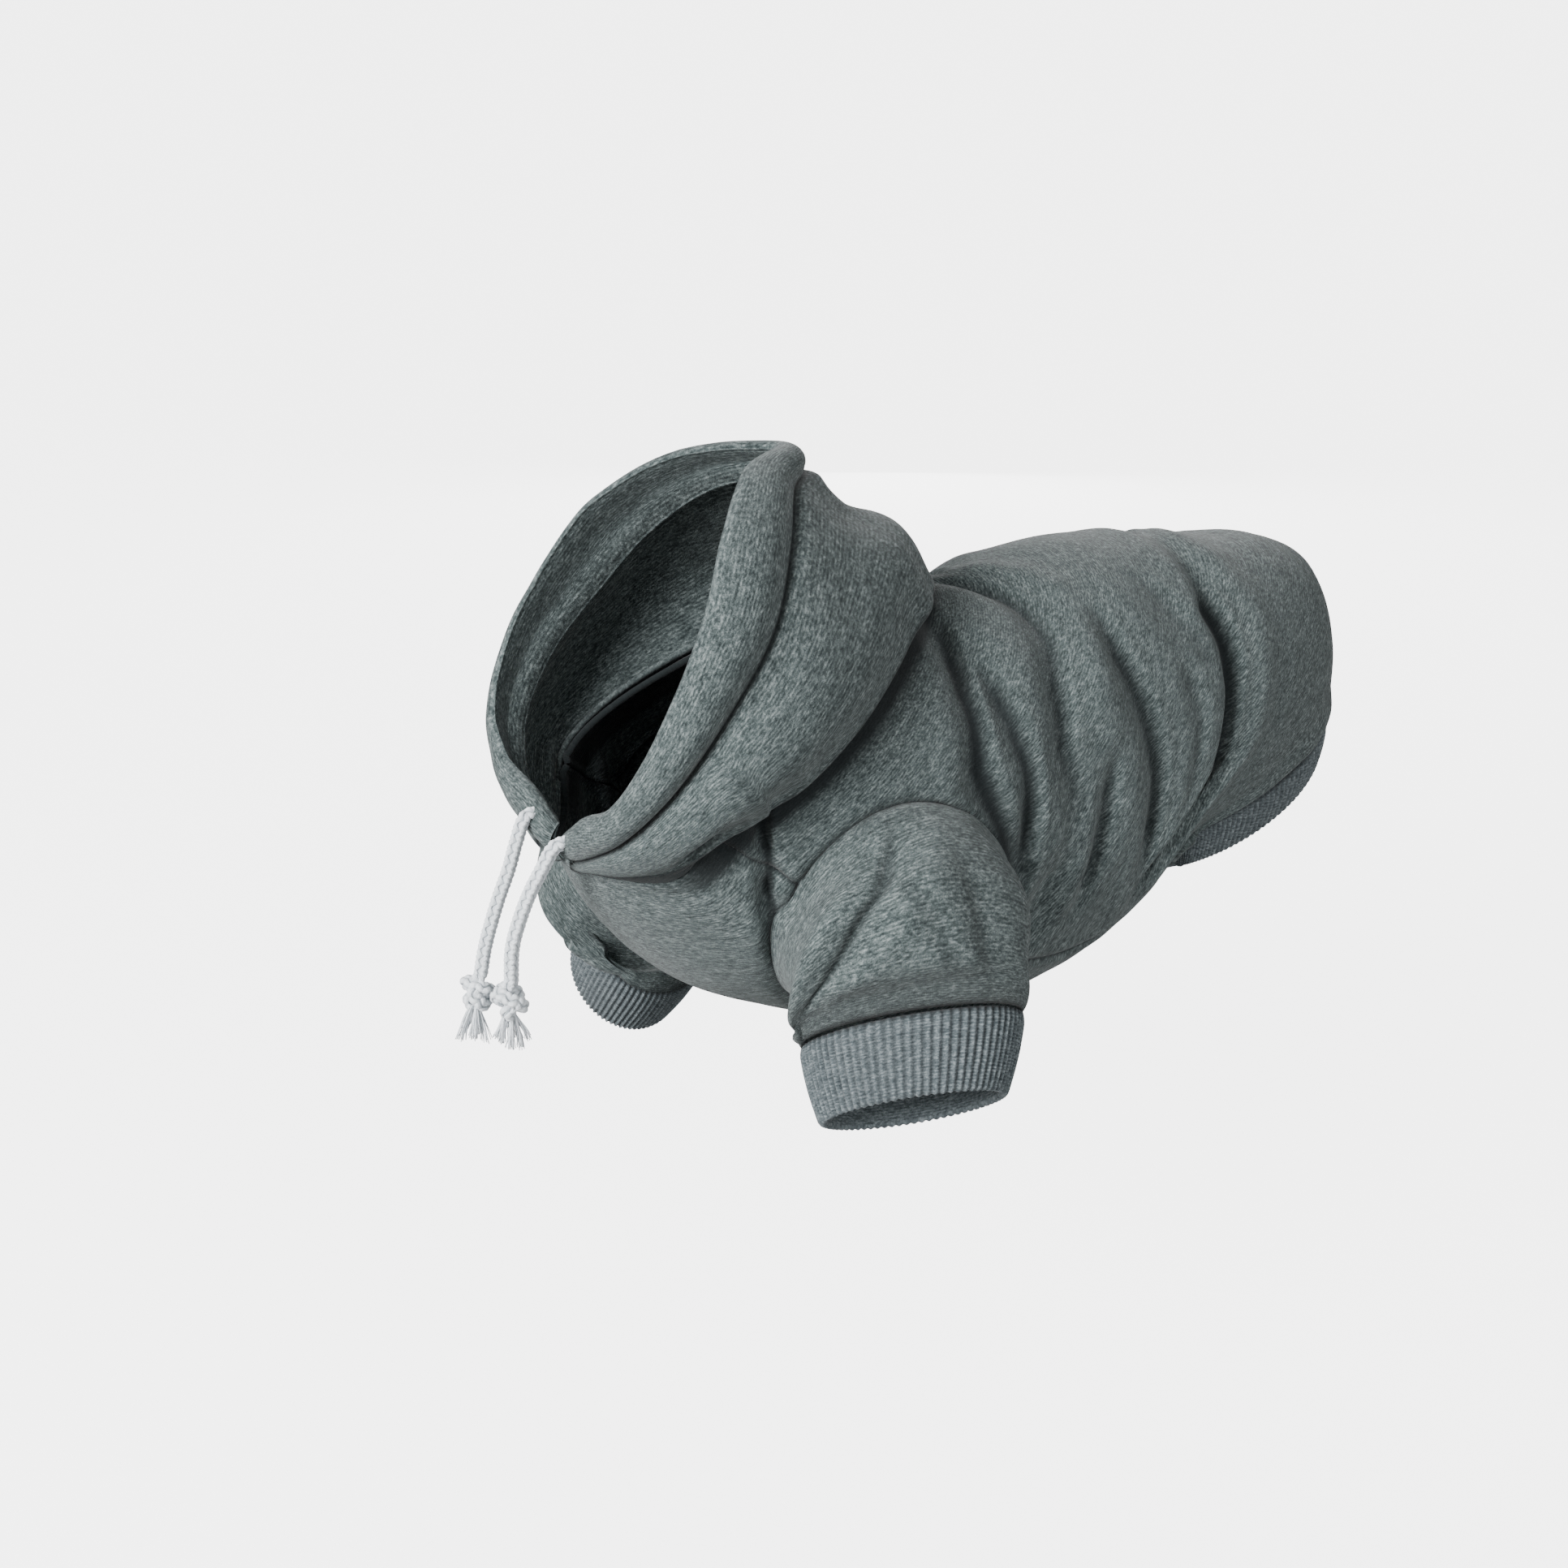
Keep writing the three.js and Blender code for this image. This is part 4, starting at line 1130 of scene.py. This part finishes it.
# Braided cords, knots and frayed ends
cord = {
    "diameter": 5.0,
    "strands": 8,
    "pitch": 15.0,
    "ring": 1.45,
    "weave": 0.5,
    "strandWide": 1.1,
    "strandThin": 0.72,
    "sides": 7,
    "step": 0.55,
    "underShade": 0.9,
    "sideShade": 0.4,
    "lightest": 0.15,
    "routes": {
        "left": [
            (10, -246, -74.4), (8.8, -251.5, -75.6), (7, -255.2, -82.5),
            (4.8, -259.4, -91.5), (3, -262.7, -101), (1.5, -265.1, -111.1),
            (0, -265.8, -129.5),
        ],
        "right": [
            (-13, -245, -70.5), (-13.3, -250.5, -71.7), (-13.6, -254, -79.5),
            (-14, -257.2, -89), (-14.5, -261.8, -100), (-15.2, -266.5, -114),
            (-16, -270.2, -131.3),
        ],
    },
}
knot = {
    "half": 5.5,
    "gap": 0.3,
    "thin": 1.02,
    "size": 1.3,
    "turns": [  # one overhand knot, across, toward the viewer, up
        (0.0, 0.0, 6.5), (-0.8, 1.4, 3.2), (-2.6, 2.6, 0.2), (-3.4, 0.2, -2.8),
        (-0.6, -2.4, -3.4), (2.8, -1.8, -1.4), (3.4, 1.0, 1.4), (0.6, 3.0, 2.8),
        (-2.8, 0.6, 2.6), (-2.2, -2.4, 0.8), (0.8, -1.6, -1.2), (1.2, 1.4, -3.2),
        (0.2, 0.4, -6.0),
    ],
}
tassel = {
    "seeds": {"left": 11, "right": 12},
    "fibres": 150,
    "locks": 7,
    "lockTurn": 0.7,
    "fibreTurn": 0.5,
    "length": 14,
    "lockLength": 0.24,
    "fibreLength": 0.14,
    "thick": 0.24,
    "taper": 0.35,
    "sides": 5,
    "rings": 7,
    "spread": 34,
    "lockLean": 0.75,
    "edgeLean": 0.3,
    "head": 2.6,
    "rootShare": 0.8,
    "bow": (3, 0.6, 0.4, 0.6),  # per lock, its middle, outward and sideways scatter
    "wave": 0.7,
    "waveTurns": 3,
}


def smoothLine(points, step, fineness=40, least=8):
    points = np.asarray(points, float)
    fine = between(points, np.linspace(0, len(points) - 1, fineness * len(points)))
    lengths = lengthsAlong(fine)
    count = max(least, int(round(lengths[-1] / step)))
    at = np.linspace(0, lengths[-1], count + 1)
    return np.stack([np.interp(at, lengths, fine[:, k]) for k in range(3)], 1)


def lineFrames(line, aside=(1.0, 0.2, 0.1)):
    tangents = unit(np.gradient(line, axis=0))
    normal = unit(np.cross(tangents[0], aside))
    normals = []
    for t in tangents:
        normal = unit(normal - t * (normal @ t))
        normals.append(normal)
    normals = np.array(normals)
    return normals, np.cross(tangents, normals)


def ringsRound(middle, across, out, sides):
    a = (2 * math.pi * np.arange(sides) / sides)[None, :, None]
    return middle[:, None] + across * np.cos(a) + out * np.sin(a)


def braidTubes(line, size):
    normals, others = lineFrames(line)
    turn = 2 * math.pi * lengthsAlong(line) / cord["pitch"]
    pairs = cord["strands"] / 2
    sideways = np.sin(2 * math.pi * np.arange(cord["sides"]) / cord["sides"])
    tubes, shades = [], []
    for k in range(cord["strands"]):
        way = 1 if k % 2 else -1
        theta = way * turn + (k // 2 + (0 if k % 2 else 0.5)) * 2 * math.pi / pairs
        over = way * np.cos(pairs * turn)
        out = normals * np.cos(theta)[:, None] + others * np.sin(theta)[:, None]
        middle = line + out * (cord["ring"] + cord["weave"] * over)[:, None] * size
        across = unit(np.cross(unit(np.gradient(middle, axis=0)), out))
        wide, thin = cord["strandWide"] * size, cord["strandThin"] * size
        tubes.append(ringsRound(middle, across[:, None] * wide, out[:, None] * thin, cord["sides"]))
        # Painted shade: a strand is darker where it passes under the others and on its side toward the
        # cord's core
        under = cord["underShade"] * (0.5 - 0.5 * over)
        shades.append(under[:, None] + cord["sideShade"] * (1 - sideways) - cord["lightest"])
    return tubes, np.concatenate(shades).ravel()


def tubesObject(name, tubes, shade=None):
    points, faces, uvs = [], [], []
    for tube in tubes:
        base = len(points)
        count, sides = tube.shape[:2]
        points.extend(tube.reshape(-1, 3))
        down = lengthsAlong(tube[:, 0]) * uvScale
        piece = []
        for j in range(count - 1):
            here, there = base + j * sides, base + (j + 1) * sides
            for i in range(sides):
                k = (i + 1) % sides
                piece.append((here + i, here + k, there + k, there + i))
                u0, u1 = i * strandUv, (i + 1) * strandUv
                uvs.append([(down[j], u0), (down[j], u1), (down[j + 1], u1), (down[j + 1], u0)])
        piece.append(tuple(base + i for i in range(sides))[::-1])
        piece.append(tuple(base + (count - 1) * sides + i for i in range(sides)))
        uvs += [[(0, 0)] * sides] * 2
        if signedVolume(points, piece[:-2]) < 0:
            piece = reverse(piece)
        faces.extend(piece)
    return makeObject(name, points, faces, flatten(uvs), "cord", shade)


def makeFray(hand, root, down, side, front):
    dice = np.random.RandomState(tassel["seeds"][hand])
    count = tassel["locks"]
    locks = dice.rand(count, 4)
    perLock, bowMiddle, outward, sideways = tassel["bow"]
    even = 1 - tassel["lockLength"] - tassel["fibreLength"]
    t = np.linspace(0, 1, tassel["rings"])[:, None]
    thick = (tassel["thick"] * (1 - tassel["taper"] * t))[:, None]
    fibres = []
    for n in range(tassel["fibres"]):
        lock = locks[n % count]
        place = n % count + tassel["lockTurn"] * lock[0] + tassel["fibreTurn"] * dice.rand()
        around = place * 2 * math.pi / count
        out = side * math.cos(around) + front * math.sin(around)
        far = math.sqrt(dice.rand())
        begin = root + out * tassel["head"] * far * tassel["rootShare"]
        share = 1 - tassel["lockLean"] * (1 - lock[1])
        lean = math.radians(tassel["spread"] * share * (1 - tassel["edgeLean"] * (1 - far)))
        share = even + tassel["lockLength"] * lock[2] + tassel["fibreLength"] * dice.rand()
        across = np.cross(down, out)
        bow = out * (dice.normal(0, outward) + perLock * (lock[3] - bowMiddle))
        bow = bow + across * dice.normal(0, sideways)
        middle = begin + (down * math.cos(lean) + out * math.sin(lean)) * tassel["length"] * share * t
        middle = middle + bow * t * t + out * tassel["wave"] * np.sin(tassel["waveTurns"] * t + around)
        fibres.append(ringsRound(middle, out * thick, unit(across + 0.01) * thick, tassel["sides"]))
    return tubesObject(f"frayedEnd_{hand}", fibres)


def makeCord(hand):
    route = np.array(cord["routes"][hand])
    centre = route[-1]
    down = unit(centre - route[-2])
    stop = centre - down * (knot["half"] + knot["gap"])
    line = smoothLine(np.vstack([route[:-1], stop]), cord["step"])
    tubes, shade = braidTubes(line, 1.0)
    rope = tubesObject(f"cordBraid_{hand}", tubes, shade)

    side = unit(np.cross((0, -1, 0), down))
    front = np.cross(down, side)
    mirror = -1 if hand == "right" else 1
    turns = np.array(knot["turns"]) * np.array([mirror * knot["size"], knot["size"], 1])
    knotLine = centre + turns[:, :1] * side + turns[:, 1:2] * front - turns[:, 2:] * down
    tubes, shade = braidTubes(smoothLine(knotLine, cord["step"]), knot["thin"])
    ball = tubesObject(f"knotBraid_{hand}", tubes, shade)
    root = centre + down * (knot["half"] - knot["gap"])
    fray = makeFray(hand, root, down, side, front)
    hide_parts(f"drawstring_{hand}")
    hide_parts(f"knot_{hand}")
    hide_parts(f"tassel_{hand}")


for hand in ("left", "right"):
    makeCord(hand)
print("cords made")
